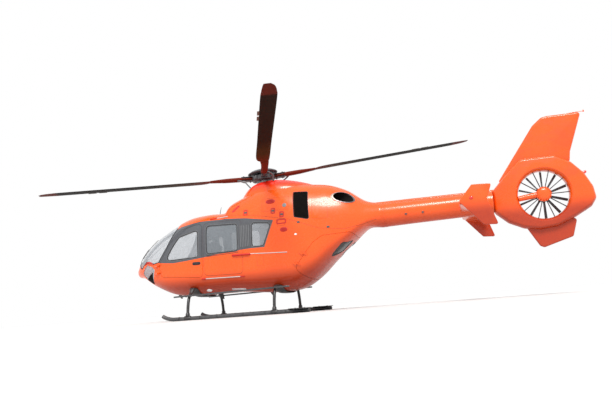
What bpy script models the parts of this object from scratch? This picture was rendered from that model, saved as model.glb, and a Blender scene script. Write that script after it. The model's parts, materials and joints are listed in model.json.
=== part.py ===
"""A light twin-engine helicopter parked on its skids.

It has a four-blade main rotor, a ducted tail fan, hinged front doors, sliding cabin doors and
two clamshell doors at the back of the cabin.

Metres, +Z up, +X to port (the machine's left) and +Y aft. The ground is at Z = 0. Every Y in the
tables is a station, counted aft from the main rotor's mast, and the parent empty "airframe" then
moves the whole machine by MAST_Y, so that its bounding box is centred on the origin.
"""

import math

import bmesh
import bpy
import numpy as np
from mathutils import Matrix, Vector

# Places and clearances
MAST_Y = -1.1495
SEAT_GAP = 0.0003
PANE_GAP = 0.0005
PANEL_GAP = 0.0006
DOOR_GAP = 0.006

# Fuselage skin
WALL = 0.040
PANE_RECESS = 0.006
PANE_THICKNESS = 0.010
BODY_POINTS = 28
BODY_STEPS = 2
WALL_NOSE = -3.12
WALL_TAIL = 2.64

# Door hinges: each line's two end points, and where along it the knuckles sit
FRONT_HINGE = ((0.666, -2.490, 1.06), (0.666, -2.490, 1.36))
CLAMSHELL_HINGE = ((0.797, 0.827, 0.96), (0.782, 1.107, 1.32))
KNUCKLE_PLACES = (0.2, 0.78)
KNUCKLE_RADIUS = 0.009
KNUCKLE_LENGTH = 0.035
KNUCKLE_REACH = 0.10

# Inside
DECK_DROP = 0.045
DECK_THICKNESS = 0.030
FLOOR_TOP = 0.74
GEARBOX_TOP = -0.57

# Main rotor
HUB_HEIGHT = 3.16
MAST_TILT = math.radians(5.0)
MAST_RADIUS = 0.055
BLADE_REST_TURN = math.radians(-22.0)
BLADE_CONE = math.radians(3.0)
BLADES = 4

# Tail fan
FAN_Y = 6.09
FAN_Z = 2.04
DUCT_RADIUS = 0.50
SHROUD_HALF = 0.155
FAN_BLADES = 10

# Landing gear
SKID_X = 1.00
SKID_RADIUS = 0.042
FRONT_TUBE_Y = -1.60
REAR_TUBE_Y = 0.40

COLOURS = {
    "paint": ((0.80, 0.07, 0.012), 0.28, 0.0),
    "glass": ((0.07, 0.08, 0.09), 0.08, 0.0),
    "black": ((0.012, 0.012, 0.014), 0.45, 0.0),
    "blade": ((0.03, 0.016, 0.012), 0.40, 0.0),
    "metal": ((0.45, 0.45, 0.46), 0.35, 1.0),
    "interior": ((0.10, 0.10, 0.11), 0.75, 0.0),
    "seat": ((0.05, 0.05, 0.06), 0.85, 0.0),
}

# The fuselage's cross-sections: two half superellipses that meet at the widest height
BODY_COLUMNS = ("y", "z_low", "z_wide", "z_top", "half_width", "n_low", "n_top")
BODY = (
    (-3.35, 1.23, 1.23, 1.23, 0.000, 2.0, 2.0),
    (-3.28, 1.09, 1.20, 1.33, 0.140, 2.1, 2.0),
    (-3.08, 1.03, 1.21, 1.61, 0.325, 2.3, 2.2),
    (-2.72, 0.80, 1.23, 1.92, 0.535, 2.5, 2.4),
    (-2.25, 0.60, 1.24, 2.17, 0.680, 2.8, 2.7),
    (-1.75, 0.54, 1.25, 2.35, 0.755, 3.1, 3.2),
    (-1.25, 0.55, 1.26, 2.39, 0.772, 3.4, 3.8),
    (-0.84, 0.55, 1.27, 2.39, 0.772, 3.4, 3.9),
    (-0.68, 0.55, 1.27, 2.57, 0.774, 3.4, 3.6),
    (-0.40, 0.53, 1.26, 2.72, 0.776, 3.4, 3.0),
    (0.00, 0.49, 1.25, 2.88, 0.780, 3.4, 2.8),
    (0.40, 0.48, 1.25, 2.94, 0.785, 3.4, 2.6),
    (0.80, 0.53, 1.27, 2.91, 0.778, 3.3, 2.5),
    (1.20, 0.76, 1.35, 2.85, 0.742, 3.0, 2.4),
    (1.60, 1.11, 1.49, 2.78, 0.673, 2.6, 2.4),
    (2.00, 1.43, 1.66, 2.61, 0.565, 2.4, 2.4),
    (2.38, 1.71, 1.86, 2.34, 0.410, 2.1, 2.2),
    (2.72, 1.71, 1.98, 2.25, 0.270, 2.0, 2.0),
)

# The fairing round the mast, in the same columns
MAST_FAIRING = (
    (-0.61, 2.30, 2.40, 2.46, 0.12, 2.2, 2.2),
    (-0.47, 2.15, 2.45, 2.74, 0.30, 2.4, 2.4),
    (-0.25, 2.15, 2.50, 2.96, 0.42, 2.6, 2.6),
    (0.05, 2.15, 2.50, 3.05, 0.48, 2.8, 2.8),
    (0.40, 2.15, 2.50, 3.05, 0.48, 2.8, 2.8),
    (0.75, 2.15, 2.50, 2.99, 0.44, 2.7, 2.7),
    (1.10, 2.20, 2.45, 2.89, 0.34, 2.5, 2.5),
    (1.36, 2.30, 2.50, 2.78, 0.18, 2.2, 2.2),
)

# Side-view outlines (y, z) of panels and windows, each with its corner radius
COWL_SEAM = (
    (-0.80, 2.28), (-0.02, 2.19), (0.76, 2.02), (1.42, 1.76), (1.95, 1.70), (2.30, 1.77), (2.62, 1.87),
)
COWL_OUTLINE = COWL_SEAM + ((2.62, 3.30), (-0.80, 3.30))
WINDSHIELD = (
    (-3.19, 2.70), (-3.19, 1.40), (-3.07, 1.25), (-2.97, 1.35), (-2.86, 1.42), (-2.62, 1.34), (-2.47, 1.36),
    (-2.23, 1.69), (-2.06, 2.00), (-1.98, 2.12), (-1.98, 2.70),
)
CHIN_WINDOW = (
    (-3.03, 1.14), (-2.96, 1.27), (-2.84, 1.35), (-2.66, 1.28), (-2.58, 1.20), (-2.64, 1.02), (-2.70, 0.84),
    (-2.93, 0.99),
)
FRONT_DOOR = ((-2.40, 1.01), (-2.45, 1.29), (-2.19, 1.69), (-2.03, 1.92), (-1.85, 2.06), (-1.31, 2.15), (-1.31, 0.92))
FRONT_WINDOW = ((-2.27, 1.37), (-2.05, 1.70), (-1.90, 1.88), (-1.40, 2.00), (-1.40, 1.38))
SLIDING_DOOR = ((-1.27, 0.95), (-1.27, 2.15), (-0.34, 2.13), (-0.34, 0.93))
SLIDING_WINDOW = ((-1.19, 1.43), (-1.19, 2.07), (-0.44, 2.04), (-0.44, 1.44))
QUARTER_WINDOW = ((-0.10, 1.49), (-0.10, 2.03), (0.36, 1.98), (0.17, 1.49))
CLAMSHELL = (
    (0.85, 0.94), (1.13, 1.30), (1.28, 1.47), (1.48, 1.59), (2.14, 1.63), (2.14, 0.10), (1.12, 0.10), (1.12, 0.70),
    (0.97, 0.80),
)
INTAKE = ((0.89, 2.06), (0.85, 2.64), (1.17, 2.62), (1.21, 1.98))

# The window in each clamshell door, seen from below: (x, y)
CLAMSHELL_WINDOW = ((0.50, 1.87), (0.15, 2.06), (0.09, 1.78), (0.45, 1.58))

# Main rotor blade: radius, chord, thickness and how far the leading edge lies ahead of the pitch axis
BLADE_COLUMNS = ("radius", "chord", "thickness", "lead")
BLADE = (
    (0.20, 0.130, 0.075, 0.065),
    (0.42, 0.115, 0.060, 0.058),
    (0.80, 0.120, 0.055, 0.060),
    (1.20, 0.150, 0.052, 0.062),
    (1.50, 0.290, 0.036, 0.085),
    (2.60, 0.290, 0.034, 0.080),
    (4.45, 0.290, 0.031, 0.080),
    (4.80, 0.262, 0.026, 0.062),
    (5.00, 0.205, 0.018, 0.020),
    (5.10, 0.120, 0.009, -0.050),
)

# The duct housing's outline behind the boom, and the fins, all as (y, z)
SHROUD = (
    (5.08, 2.22), (5.08, 1.76), (5.34, 1.52), (5.63, 1.38), (5.95, 1.32), (6.30, 1.36), (6.66, 1.52),
    (6.98, 1.70), (7.09, 1.86), (7.06, 2.10), (6.92, 2.40), (6.70, 2.66), (6.40, 2.84), (5.70, 2.84),
    (5.36, 2.52),
)
FIN = ((5.20, 2.37), (6.05, 3.53), (6.24, 3.68), (6.36, 3.70), (7.03, 3.69), (6.72, 2.88), (6.69, 2.68), (5.60, 2.37))
VENTRAL_FIN = ((5.62, 1.50), (5.90, 0.99), (5.98, 0.955), (6.56, 1.13), (6.68, 1.50))
END_PLATE = ((4.40, 1.90), (4.67, 2.21), (5.04, 2.19), (4.93, 1.90), (5.09, 1.39), (4.82, 1.41))
SNOW_PAD = ((0.70, 0.0), (0.93, 0.285), (1.14, 0.285), (1.14, -0.285), (0.93, -0.285))


def clear_scene():
    for thing in list(bpy.data.objects):
        bpy.data.objects.remove(thing, do_unlink=True)


def material(name):
    """One Principled material per finish, shared by the pieces that wear it."""
    found = bpy.data.materials.get(name)
    if found:
        return found
    colour, roughness, metallic = COLOURS[name]
    made = bpy.data.materials.new(name)
    made.use_nodes = True
    shader = made.node_tree.nodes["Principled BSDF"]
    shader.inputs["Base Color"].default_value = (*colour, 1.0)
    shader.inputs["Roughness"].default_value = roughness
    shader.inputs["Metallic"].default_value = metallic
    made.diffuse_color = (*colour, 1.0)
    return made


def put_in_scene(name, mesh_builder, finish, origin=(0.0, 0.0, 0.0)):
    """Makes an object of a bmesh, with its origin at the given station point."""
    bmesh.ops.remove_doubles(mesh_builder, verts=mesh_builder.verts, dist=1e-6)
    bmesh.ops.recalc_face_normals(mesh_builder, faces=mesh_builder.faces)
    bmesh.ops.triangulate(mesh_builder, faces=mesh_builder.faces, quad_method="FIXED")
    bmesh.ops.translate(mesh_builder, verts=mesh_builder.verts, vec=-Vector(origin))
    mesh = bpy.data.meshes.new(name)
    mesh_builder.to_mesh(mesh)
    mesh_builder.free()
    mesh.materials.append(material(finish))
    piece = bpy.data.objects.new(name, mesh)
    piece.location = origin
    piece.parent = bpy.data.objects["airframe"]
    bpy.context.collection.objects.link(piece)
    mesh.shade_smooth()
    mesh.set_sharp_from_angle(angle=math.radians(32))
    return piece


def helper(piece):
    """Marks a cutter, which is never drawn and never becomes a piece."""
    piece.hide_render = True
    piece.display_type = "WIRE"
    return piece


def boolean(piece, operation, *others):
    for other in others:
        modifier = piece.modifiers.new(operation.lower(), "BOOLEAN")
        modifier.operation = operation
        modifier.solver = "EXACT"
        modifier.object = other
    return piece


def fuse(piece, *others):
    return boolean(piece, "UNION", *[helper(other) for other in others])


def skin(rings, closed_ends=True):
    """A bmesh of rings with equal counts: quads between them and one face over each end."""
    builder = bmesh.new()
    loops = [[builder.verts.new(point) for point in ring] for ring in rings]
    for here, there in zip(loops, loops[1:]):
        for i in range(len(here)):
            j = (i + 1) % len(here)
            builder.faces.new((here[i], here[j], there[j], there[i]))
    if closed_ends:
        builder.faces.new(loops[0])
        builder.faces.new(loops[-1])
    return builder


def smooth_rows(table, steps):
    """The table's rows with steps - 1 more between each two, on a Catmull-Rom curve through them."""
    rows = np.array(table, float)
    padded = np.vstack([2 * rows[0] - rows[1], rows, 2 * rows[-1] - rows[-2]])
    found = []
    for i in range(len(rows) - 1):
        before, start, end, after = padded[i : i + 4]
        for t in np.arange(steps) / steps:
            found.append(
                0.5
                * (
                    2 * start
                    + (end - before) * t
                    + (2 * before - 5 * start + 4 * end - after) * t**2
                    + (3 * start - before - 3 * end + after) * t**3
                )
            )
    found.append(rows[-1])
    return np.array(found)


def section(row, points, inset=0.0):
    """One cross-section: x = a |cos|^(2/n), z = b |sin|^(2/n) about the widest height, less inset."""
    y, z_low, z_wide, z_top, half_width, n_low, n_top = row
    turn = np.linspace(0.0, 2 * math.pi, points, endpoint=False)
    cosine, sine = np.cos(turn), np.sin(turn)
    power = np.where(sine >= 0, 2 / n_top, 2 / n_low)
    reach = np.where(sine >= 0, z_top - z_wide - inset, z_wide - z_low - inset)
    x = (half_width - inset) * np.sign(cosine) * np.abs(cosine) ** power
    z = z_wide + np.maximum(reach, 0.0) * np.sign(sine) * np.abs(sine) ** power
    return np.stack([x, np.full(points, y), z], axis=1)


def body_solid(name, table, inset=0.0, start=None, end=None, points=BODY_POINTS, steps=BODY_STEPS):
    """A helper solid: the lofted table moved inwards by inset, cut flat at the stations start and end."""
    rows = smooth_rows(table, steps)
    if start is not None:
        rows = rows[rows[:, 0] > start + 0.03]
        rows = np.vstack([row_at(table, start), rows])
    if end is not None:
        rows = rows[rows[:, 0] < end - 0.03]
        rows = np.vstack([rows, row_at(table, end)])
    rings = [section(row, points, inset) for row in rows]
    if start is None:
        tip = np.mean(rings[0], axis=0)
        tip[1] += inset
        rings[0] = np.tile(tip, (points, 1))
    return helper(put_in_scene(name, skin_with_tip(rings, start is None), "paint"))


def skin_with_tip(rings, pointed):
    """Like skin, but the first ring is one point where the body is pointed."""
    if not pointed:
        return skin(rings)
    builder = bmesh.new()
    tip = builder.verts.new(rings[0][0])
    loops = [[builder.verts.new(point) for point in ring] for ring in rings[1:]]
    count = len(loops[0])
    for i in range(count):
        builder.faces.new((tip, loops[0][(i + 1) % count], loops[0][i]))
    for here, there in zip(loops, loops[1:]):
        for i in range(count):
            j = (i + 1) % count
            builder.faces.new((here[i], here[j], there[j], there[i]))
    builder.faces.new(loops[-1])
    return builder


def row_at(table, y):
    """The lofted table's row at one station."""
    rows = smooth_rows(table, 16)
    return np.array([y] + [np.interp(y, rows[:, 0], rows[:, i]) for i in range(1, rows.shape[1])])


def offset_outline(outline, grow):
    """The polygon with each edge moved outwards by grow."""
    points = [Vector(point) for point in outline]
    area = sum(a.x * b.y - b.x * a.y for a, b in zip(points, points[1:] + points[:1]))
    side = 1.0 if area > 0 else -1.0
    moved = []
    for i, corner in enumerate(points):
        into = (corner - points[i - 1]).normalized()
        out = (points[(i + 1) % len(points)] - corner).normalized()
        normal_in = Vector((into.y, -into.x)) * side
        normal_out = Vector((out.y, -out.x)) * side
        bisector = (normal_in + normal_out).normalized()
        moved.append(corner + bisector * (grow / max(bisector.dot(normal_in), 0.3)))
    return moved


def rounded(outline, radius=0.0, grow=0.0, arc_steps=3):
    """The outline, grown, with each corner turned on an arc of the radius plus what it grew."""
    points = offset_outline(outline, grow) if grow else [Vector(point) for point in outline]
    if radius <= 0:
        return points
    found = []
    for i, corner in enumerate(points):
        before = points[i - 1] - corner
        after = points[(i + 1) % len(points)] - corner
        half = before.angle(after) / 2
        if half > math.radians(82):
            found.append(corner)
            continue
        cut = min((radius + grow) / math.tan(half), 0.45 * before.length, 0.45 * after.length)
        actual = cut * math.tan(half)
        centre = corner + (before.normalized() + after.normalized()).normalized() * (actual / math.sin(half))
        first = corner + before.normalized() * cut - centre
        last = corner + after.normalized() * cut - centre
        sweep = first.angle_signed(last)
        for k in range(arc_steps + 1):
            turn = -sweep * k / arc_steps
            found.append(centre + Matrix.Rotation(turn, 2) @ first)
    return found


def prism_mesh(outlines):
    """A bmesh of straight prisms along X: each entry is a (y, z) outline, its x_low and its x_high."""
    builder = bmesh.new()
    for outline, x_low, x_high in outlines:
        near = [builder.verts.new((x_high, y, z)) for y, z in outline]
        far = [builder.verts.new((x_low, y, z)) for y, z in outline]
        builder.faces.new(near)
        builder.faces.new(list(reversed(far)))
        for i in range(len(near)):
            j = (i + 1) % len(near)
            builder.faces.new((near[i], far[i], far[j], near[j]))
    return builder


def side_cutter(name, outline, radius, grow, x_low=0.25, x_high=1.5):
    """One cutter with the outline's prism on both sides of the machine."""
    shape = rounded(outline, radius, grow)
    return helper(put_in_scene(name, prism_mesh([(shape, x_low, x_high), (shape, -x_high, -x_low)]), "paint"))


def side_panel(name, side, outline, radius, shrink, outer, inner, finish, x_low=0.25, origin=(0, 0, 0)):
    """A panel of the skin between two lofted solids, inside the outline's prism on one side."""
    shape = rounded(outline, radius, -shrink)
    low, high = (x_low, 1.5) if side > 0 else (-1.5, -x_low)
    piece = put_in_scene(name, prism_mesh([(shape, low, high)]), finish, origin)
    boolean(piece, "INTERSECT", outer)
    return boolean(piece, "DIFFERENCE", inner)


def plan_prisms(outline, grow, sides=(1, -1)):
    """Upright prisms of an (x, y) outline under the tail end of the cabin, on each given side."""
    shape = rounded(outline, 0.06, grow)
    rings = [[Vector((x, y, z)) for x, y in shape] for z in (0.85, 1.66)]
    builder = skin(rings)
    if 1 not in sides:
        bmesh.ops.transform(builder, matrix=Matrix.Scale(-1, 4, (1, 0, 0)), verts=builder.verts)
    elif -1 in sides:
        copied = bmesh.ops.duplicate(builder, geom=builder.verts[:] + builder.edges[:] + builder.faces[:])
        verts = [item for item in copied["geom"] if isinstance(item, bmesh.types.BMVert)]
        bmesh.ops.transform(builder, matrix=Matrix.Scale(-1, 4, (1, 0, 0)), verts=verts)
    return builder


def turned(name, profile, steps, finish, origin=(0, 0, 0), matrix=None):
    """A solid of revolution about its own Z: the profile is (radius, height) pairs, axis to axis."""
    rings = []
    for radius, height in profile:
        angles = [2 * math.pi * i / steps for i in range(steps)]
        rings.append([Vector((radius * math.cos(a), radius * math.sin(a), height)) for a in angles])
    builder = skin(rings)
    if matrix is not None:
        bmesh.ops.transform(builder, matrix=matrix, verts=builder.verts)
    bmesh.ops.translate(builder, verts=builder.verts, vec=Vector(origin))
    return put_in_scene(name, builder, finish, origin)


def tube(name, path, radius, finish, sides=10, scale=(1.0, 1.0)):
    """A swept bar with flat ends; scale squashes its section across and along the first normal."""
    points = [Vector(point) for point in path]
    rings = []
    for i, point in enumerate(points):
        before = points[max(i - 1, 0)]
        after = points[min(i + 1, len(points) - 1)]
        along = (after - before).normalized()
        across = along.cross(Vector((0, 0, 1)))
        across = across.normalized() if across.length > 0.05 else Vector((0, 1, 0))
        up = across.cross(along).normalized()
        ring = []
        for k in range(sides):
            turn = 2 * math.pi * k / sides
            offset = across * math.cos(turn) * radius * scale[0] + up * math.sin(turn) * radius * scale[1]
            ring.append(point + offset)
        rings.append(ring)
    return put_in_scene(name, skin(rings), finish)


def box(name, low, high, finish):
    (x0, y0, z0), (x1, y1, z1) = low, high
    outline = [(y0, z0), (y1, z0), (y1, z1), (y0, z1)]
    return put_in_scene(name, prism_mesh([(outline, x0, x1)]), finish)


def mast_frame():
    """The rotor's own frame: origin at the hub's centre, Z up the mast, which leans forward."""
    return Matrix.Translation((0, 0, HUB_HEIGHT)) @ Matrix.Rotation(MAST_TILT, 4, "X")


def make_fuselage():
    """The cabin's shell, the engine cowling on it, their doors and their windows."""
    outer = body_solid("body_outer", BODY)
    inner = body_solid("body_inner", BODY, WALL, WALL_NOSE, WALL_TAIL)
    fitted = body_solid("body_fitted", BODY, WALL + SEAT_GAP, WALL_NOSE, WALL_TAIL)
    pane_outer = body_solid("pane_outer", BODY, PANE_RECESS, -3.30)
    pane_inner = body_solid("pane_inner", BODY, PANE_RECESS + PANE_THICKNESS, -3.20)
    windows = (
        ("chin_window", CHIN_WINDOW, 0.06, 0.20),
        ("sliding_window", SLIDING_WINDOW, 0.07, 0.25),
        ("quarter_window", QUARTER_WINDOW, 0.07, 0.25),
        ("front_door_window", FRONT_WINDOW, 0.07, 0.25),
        ("windshield", WINDSHIELD, 0.04, 0.035),
    )
    cutters = {}
    for name, outline, radius, x_low in windows:
        cutters[name] = side_cutter(name + "_cutter", outline, radius, 0.0, x_low)
        for side, word in ((1, "left"), (-1, "right")):
            side_panel(f"{name}_{word}", side, outline, radius, PANE_GAP, pane_outer, pane_inner, "glass", x_low + PANE_GAP)

    cutters["clamshell_window"] = helper(put_in_scene("clamshell_window_cutter", plan_prisms(CLAMSHELL_WINDOW, 0.0), "paint"))
    for side, word in ((1, "left"), (-1, "right")):
        pane = put_in_scene(f"clamshell_window_{word}", plan_prisms(CLAMSHELL_WINDOW, -PANE_GAP, (side,)), "glass")
        boolean(pane, "INTERSECT", pane_outer)
        boolean(pane, "DIFFERENCE", pane_inner)

    shell = put_in_scene("cabin_shell", skin_with_tip([section(row, BODY_POINTS) for row in smooth_rows(BODY, BODY_STEPS)], True), "paint")
    boolean(shell, "DIFFERENCE", inner)
    cowl_cut = helper(put_in_scene("cowl_cutter", prism_mesh([(rounded(COWL_OUTLINE, 0, PANEL_GAP), -1.5, 1.5)]), "paint"))
    boolean(shell, "DIFFERENCE", cowl_cut)
    boolean(shell, "DIFFERENCE", side_cutter("front_door_cutter", FRONT_DOOR, 0.10, DOOR_GAP))
    boolean(shell, "DIFFERENCE", side_cutter("sliding_door_cutter", SLIDING_DOOR, 0.10, PANEL_GAP))
    clamshell_cut = rounded(CLAMSHELL, 0.10, DOOR_GAP)
    boolean(shell, "DIFFERENCE", helper(put_in_scene("clamshell_cutter", prism_mesh([(clamshell_cut, -1.5, 1.5)]), "paint")))
    for name in ("windshield", "chin_window", "quarter_window"):
        boolean(shell, "DIFFERENCE", cutters[name])

    for side, word in ((1, "left"), (-1, "right")):
        add_knuckles(shell, FRONT_HINGE, side, False)
        add_knuckles(shell, CLAMSHELL_HINGE, side, False)
        hinge = hinge_line(FRONT_HINGE, side)[0]
        door = side_panel(f"front_door_{word}", side, FRONT_DOOR, 0.10, 0.0, outer, inner, "paint", 0.25, hinge)
        boolean(door, "DIFFERENCE", cutters["front_door_window"])
        add_knuckles(door, FRONT_HINGE, side, True)
        door = side_panel(f"sliding_door_{word}", side, SLIDING_DOOR, 0.10, 0.0, outer, inner, "paint")
        boolean(door, "DIFFERENCE", cutters["sliding_window"])
        hinge = hinge_line(CLAMSHELL_HINGE, side)[0]
        door = side_panel(f"clamshell_door_{word}", side, CLAMSHELL, 0.10, 0.0, outer, inner, "paint", DOOR_GAP / 2, hinge)
        boolean(door, "DIFFERENCE", cutters["clamshell_window"])
        add_knuckles(door, CLAMSHELL_HINGE, side, True)

    cowl = put_in_scene("engine_cowling", prism_mesh([(rounded(COWL_OUTLINE, 0, 0), -1.5, 1.5)]), "paint")
    boolean(cowl, "INTERSECT", outer)
    boolean(cowl, "DIFFERENCE", inner)
    boolean(cowl, "DIFFERENCE", side_cutter("intake_cutter", INTAKE, 0.03, 0.0))
    grille_outer = body_solid("grille_outer", BODY, 0.012, -3.30)
    grille_inner = body_solid("grille_inner", BODY, 0.030, -3.20)
    for side, word in ((1, "left"), (-1, "right")):
        side_panel(f"intake_grille_{word}", side, INTAKE, 0.03, PANE_GAP, grille_outer, grille_inner, "black")

    stations = (-0.74, -0.02, 0.76, 1.42, 1.95, 2.10)
    top = [(y, deck_top(y)) for y in stations]
    deck_outline = [(y, z - DECK_THICKNESS) for y, z in top] + list(reversed(top))
    deck = put_in_scene("engine_deck", prism_mesh([(deck_outline, -1.5, 1.5)]), "interior")
    boolean(deck, "INTERSECT", fitted)
    floor = box("cabin_floor", (-1.5, -2.62, 0.30), (1.5, 0.98, FLOOR_TOP), "interior")
    boolean(floor, "INTERSECT", fitted)
    return cowl


def deck_top(y):
    """Height of the engine deck's top at a station: it runs a little under the cowling's seam."""
    seam = np.array(COWL_SEAM)
    return float(np.interp(y, seam[:, 0], seam[:, 1])) - DECK_DROP


def skin_x(y, z):
    """Half width of the fuselage's outside at a station and height."""
    _, z_low, z_wide, z_top, half_width, n_low, n_top = row_at(BODY, y)
    share, power = ((z - z_wide) / (z_top - z_wide), n_top) if z > z_wide else ((z_wide - z) / (z_wide - z_low), n_low)
    return half_width * (1 - min(share, 1.0) ** power) ** (1 / power)


def hinge_line(ends, side):
    return [Vector((side * x, y, z)) for x, y, z in ends]


def add_knuckles(piece, ends, side, moving):
    """Joins half of each hinge to a door or to the shell: a barrel on the line, and an arm to a foot in the skin."""
    start, end = hinge_line(ends, side)
    along = (end - start).normalized()
    aft = Vector((0, along.z, -along.y)).normalized()
    reach = aft * (KNUCKLE_REACH if moving else -KNUCKLE_REACH)
    for place in KNUCKLE_PLACES:
        middle = start.lerp(end, place) + along * (KNUCKLE_LENGTH + SEAT_GAP) / 2 * (1 if moving else -1)
        foot = middle + reach
        foot.x = side * (skin_x(foot.y, foot.z) - 0.002)
        builder = bmesh.new()
        for step in (-0.5, 0.5):
            shift = along * KNUCKLE_LENGTH * step
            across = along.cross(aft)
            for k in range(8):
                turn = 2 * math.pi * k / 8
                builder.verts.new(middle + shift + (aft * math.cos(turn) + across * math.sin(turn)) * KNUCKLE_RADIUS)
            for dx in (-0.009, 0.009):
                for dy in (-0.014, 0.014):
                    builder.verts.new(foot + shift + Vector((dx, 0, 0)) + aft * dy)
        hull = bmesh.ops.convex_hull(builder, input=builder.verts)
        bmesh.ops.delete(builder, geom=[v for v in hull["geom_interior"] if isinstance(v, bmesh.types.BMVert)], context="VERTS")
        word = "moving" if moving else "fixed"
        fuse(piece, put_in_scene(f"{piece.name}_knuckle_{word}_{side}_{place}", builder, "paint"))


def make_powerplant(cowl):
    """Mast fairing, exhaust pipes, one block for the two engines, and the main gearbox."""
    grown = body_solid("body_grown", BODY, -SEAT_GAP)
    fairing = put_in_scene("mast_fairing", skin([section(row, 20) for row in smooth_rows(MAST_FAIRING, 2)]), "paint")
    boolean(fairing, "DIFFERENCE", grown)
    bore = helper(turned("mast_bore", [(0.13, -1.6), (0.13, 0.2)], 20, "paint", (0, 0, 0), mast_frame()))
    boolean(fairing, "DIFFERENCE", bore)
    boolean(cowl, "DIFFERENCE", bore)

    trim = body_solid("body_trim", BODY, -0.014)
    for side, word in ((1, "left"), (-1, "right")):
        start = Vector((side * 0.285, 1.375, 2.350))
        along = Vector((side * 0.20, 0.97, 0.10)).normalized()
        turn = Vector((0, 0, 1)).rotation_difference(along).to_matrix().to_4x4()
        frame = Matrix.Translation(start) @ turn
        profile = [(0.150, 0.0), (0.150, 1.1), (0.138, 1.1), (0.138, 0.0)]
        rings = [[frame @ Vector((r * math.cos(a), r * math.sin(a), h)) for a in np.linspace(0, 2 * math.pi, 20, endpoint=False)] for r, h in profile]
        rings.append(rings[0])
        pipe = put_in_scene(f"exhaust_{word}", skin(rings, False), "metal")
        boolean(pipe, "INTERSECT", trim)
        hole = helper(turned(f"exhaust_hole_{word}", [(0.150 + PANE_GAP, -0.02), (0.150 + PANE_GAP, 1.3)], 20, "paint", (0, 0, 0), frame))
        boolean(cowl, "DIFFERENCE", hole)

    engine = [(y, deck_top(y) + SEAT_GAP) for y in (0.36, 0.76, 1.32)] + [(1.32, 2.44), (0.36, 2.46)]
    put_in_scene("engine_block", prism_mesh([(engine, -0.44, 0.44)]), "metal")

    gearbox = turned("main_gearbox", [(0.24, -1.21), (0.24, -0.83), (0.14, -0.71), (0.14, GEARBOX_TOP)], 20, "metal", (0, 0, 0), mast_frame())
    below = [(-0.70, 1.5), (0.70, 1.5)] + [(y, deck_top(y) + SEAT_GAP) for y in (0.70, -0.02, -0.70)]
    boolean(gearbox, "DIFFERENCE", helper(put_in_scene("deck_top_cutter", prism_mesh([(below, -1, 1)]), "paint")))


def blade_rings():
    """Airfoil loops of one blade along +X of the rotor frame, its leading edge towards +Y."""
    shape = ((1.0, 0.0), (0.62, 0.62), (0.25, 1.0), (-0.25, 0.78), (-1.0, 0.06), (-1.0, -0.06), (-0.25, -0.62), (0.25, -0.72), (0.62, -0.45))
    rings = []
    for radius, chord, thickness, lead in BLADE:
        middle = lead - chord / 2
        rings.append([Vector((radius, middle + chord / 2 * u, thickness / 2 * v)) for u, v in shape])
    return rings


def make_main_rotor():
    """The mast, the hub with its cap, and four blades, which all turn about the mast."""
    frame = mast_frame()
    origin = tuple(frame.translation)
    turned("rotor_mast", [(MAST_RADIUS, GEARBOX_TOP + SEAT_GAP), (MAST_RADIUS, -0.12), (0.09, -0.12), (0.09, -0.075)], 16, "metal", (0, 0, 0), frame)
    hub = turned("rotor_hub", [(0.10, -0.0747), (0.27, -0.050), (0.27, 0.040), (0.20, 0.055)], 16, "black", (0, 0, 0), frame)
    cap = turned("hub_cap", [(0.10, 0.0553), (0.10, 0.088), (0.34, 0.100), (0.35, 0.120), (0.29, 0.160), (0.12, 0.185)], 24, "black", (0, 0, 0), frame)
    for index in range(BLADES):
        angle = math.radians(90) - BLADE_REST_TURN + index * 2 * math.pi / BLADES
        place = frame @ Matrix.Rotation(angle, 4, "Z") @ Matrix.Rotation(-BLADE_CONE, 4, "Y")
        builder = skin([[place @ point for point in ring] for ring in blade_rings()])
        put_in_scene(f"main_blade_{index + 1}", builder, "blade", origin)
        socket = skin([[place @ Vector((r, y, z)) for y, z in ((-0.10, -0.06), (0.10, -0.06), (0.10, 0.06), (-0.10, 0.06))] for r in (0.1997, 0.5)])
        boolean(hub, "DIFFERENCE", helper(put_in_scene(f"blade_socket_{index}", socket, "black")))
    for piece in (hub, cap, bpy.data.objects["rotor_mast"]):
        move_origin(piece, origin)


def move_origin(piece, origin):
    """Moves a piece's origin to a station point and leaves its shape where it is."""
    shift = Vector(origin) - piece.location
    piece.data.transform(Matrix.Translation(-shift))
    piece.location = origin


def pillow(name, outline, radius, half, edge, finish, levels=2):
    """A plate with rounded rims: the outline is drawn in by edge (1 - cos) as x runs to half sin."""
    rings = []
    for k in range(-levels, levels + 1):
        turn = math.radians(90) * k / levels
        shape = rounded(offset_outline(outline, -edge * (1 - math.cos(turn))) if k else outline, radius)
        rings.append([Vector((half * math.sin(turn), y, z)) for y, z in shape])
    return put_in_scene(name, skin(rings), finish)


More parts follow.
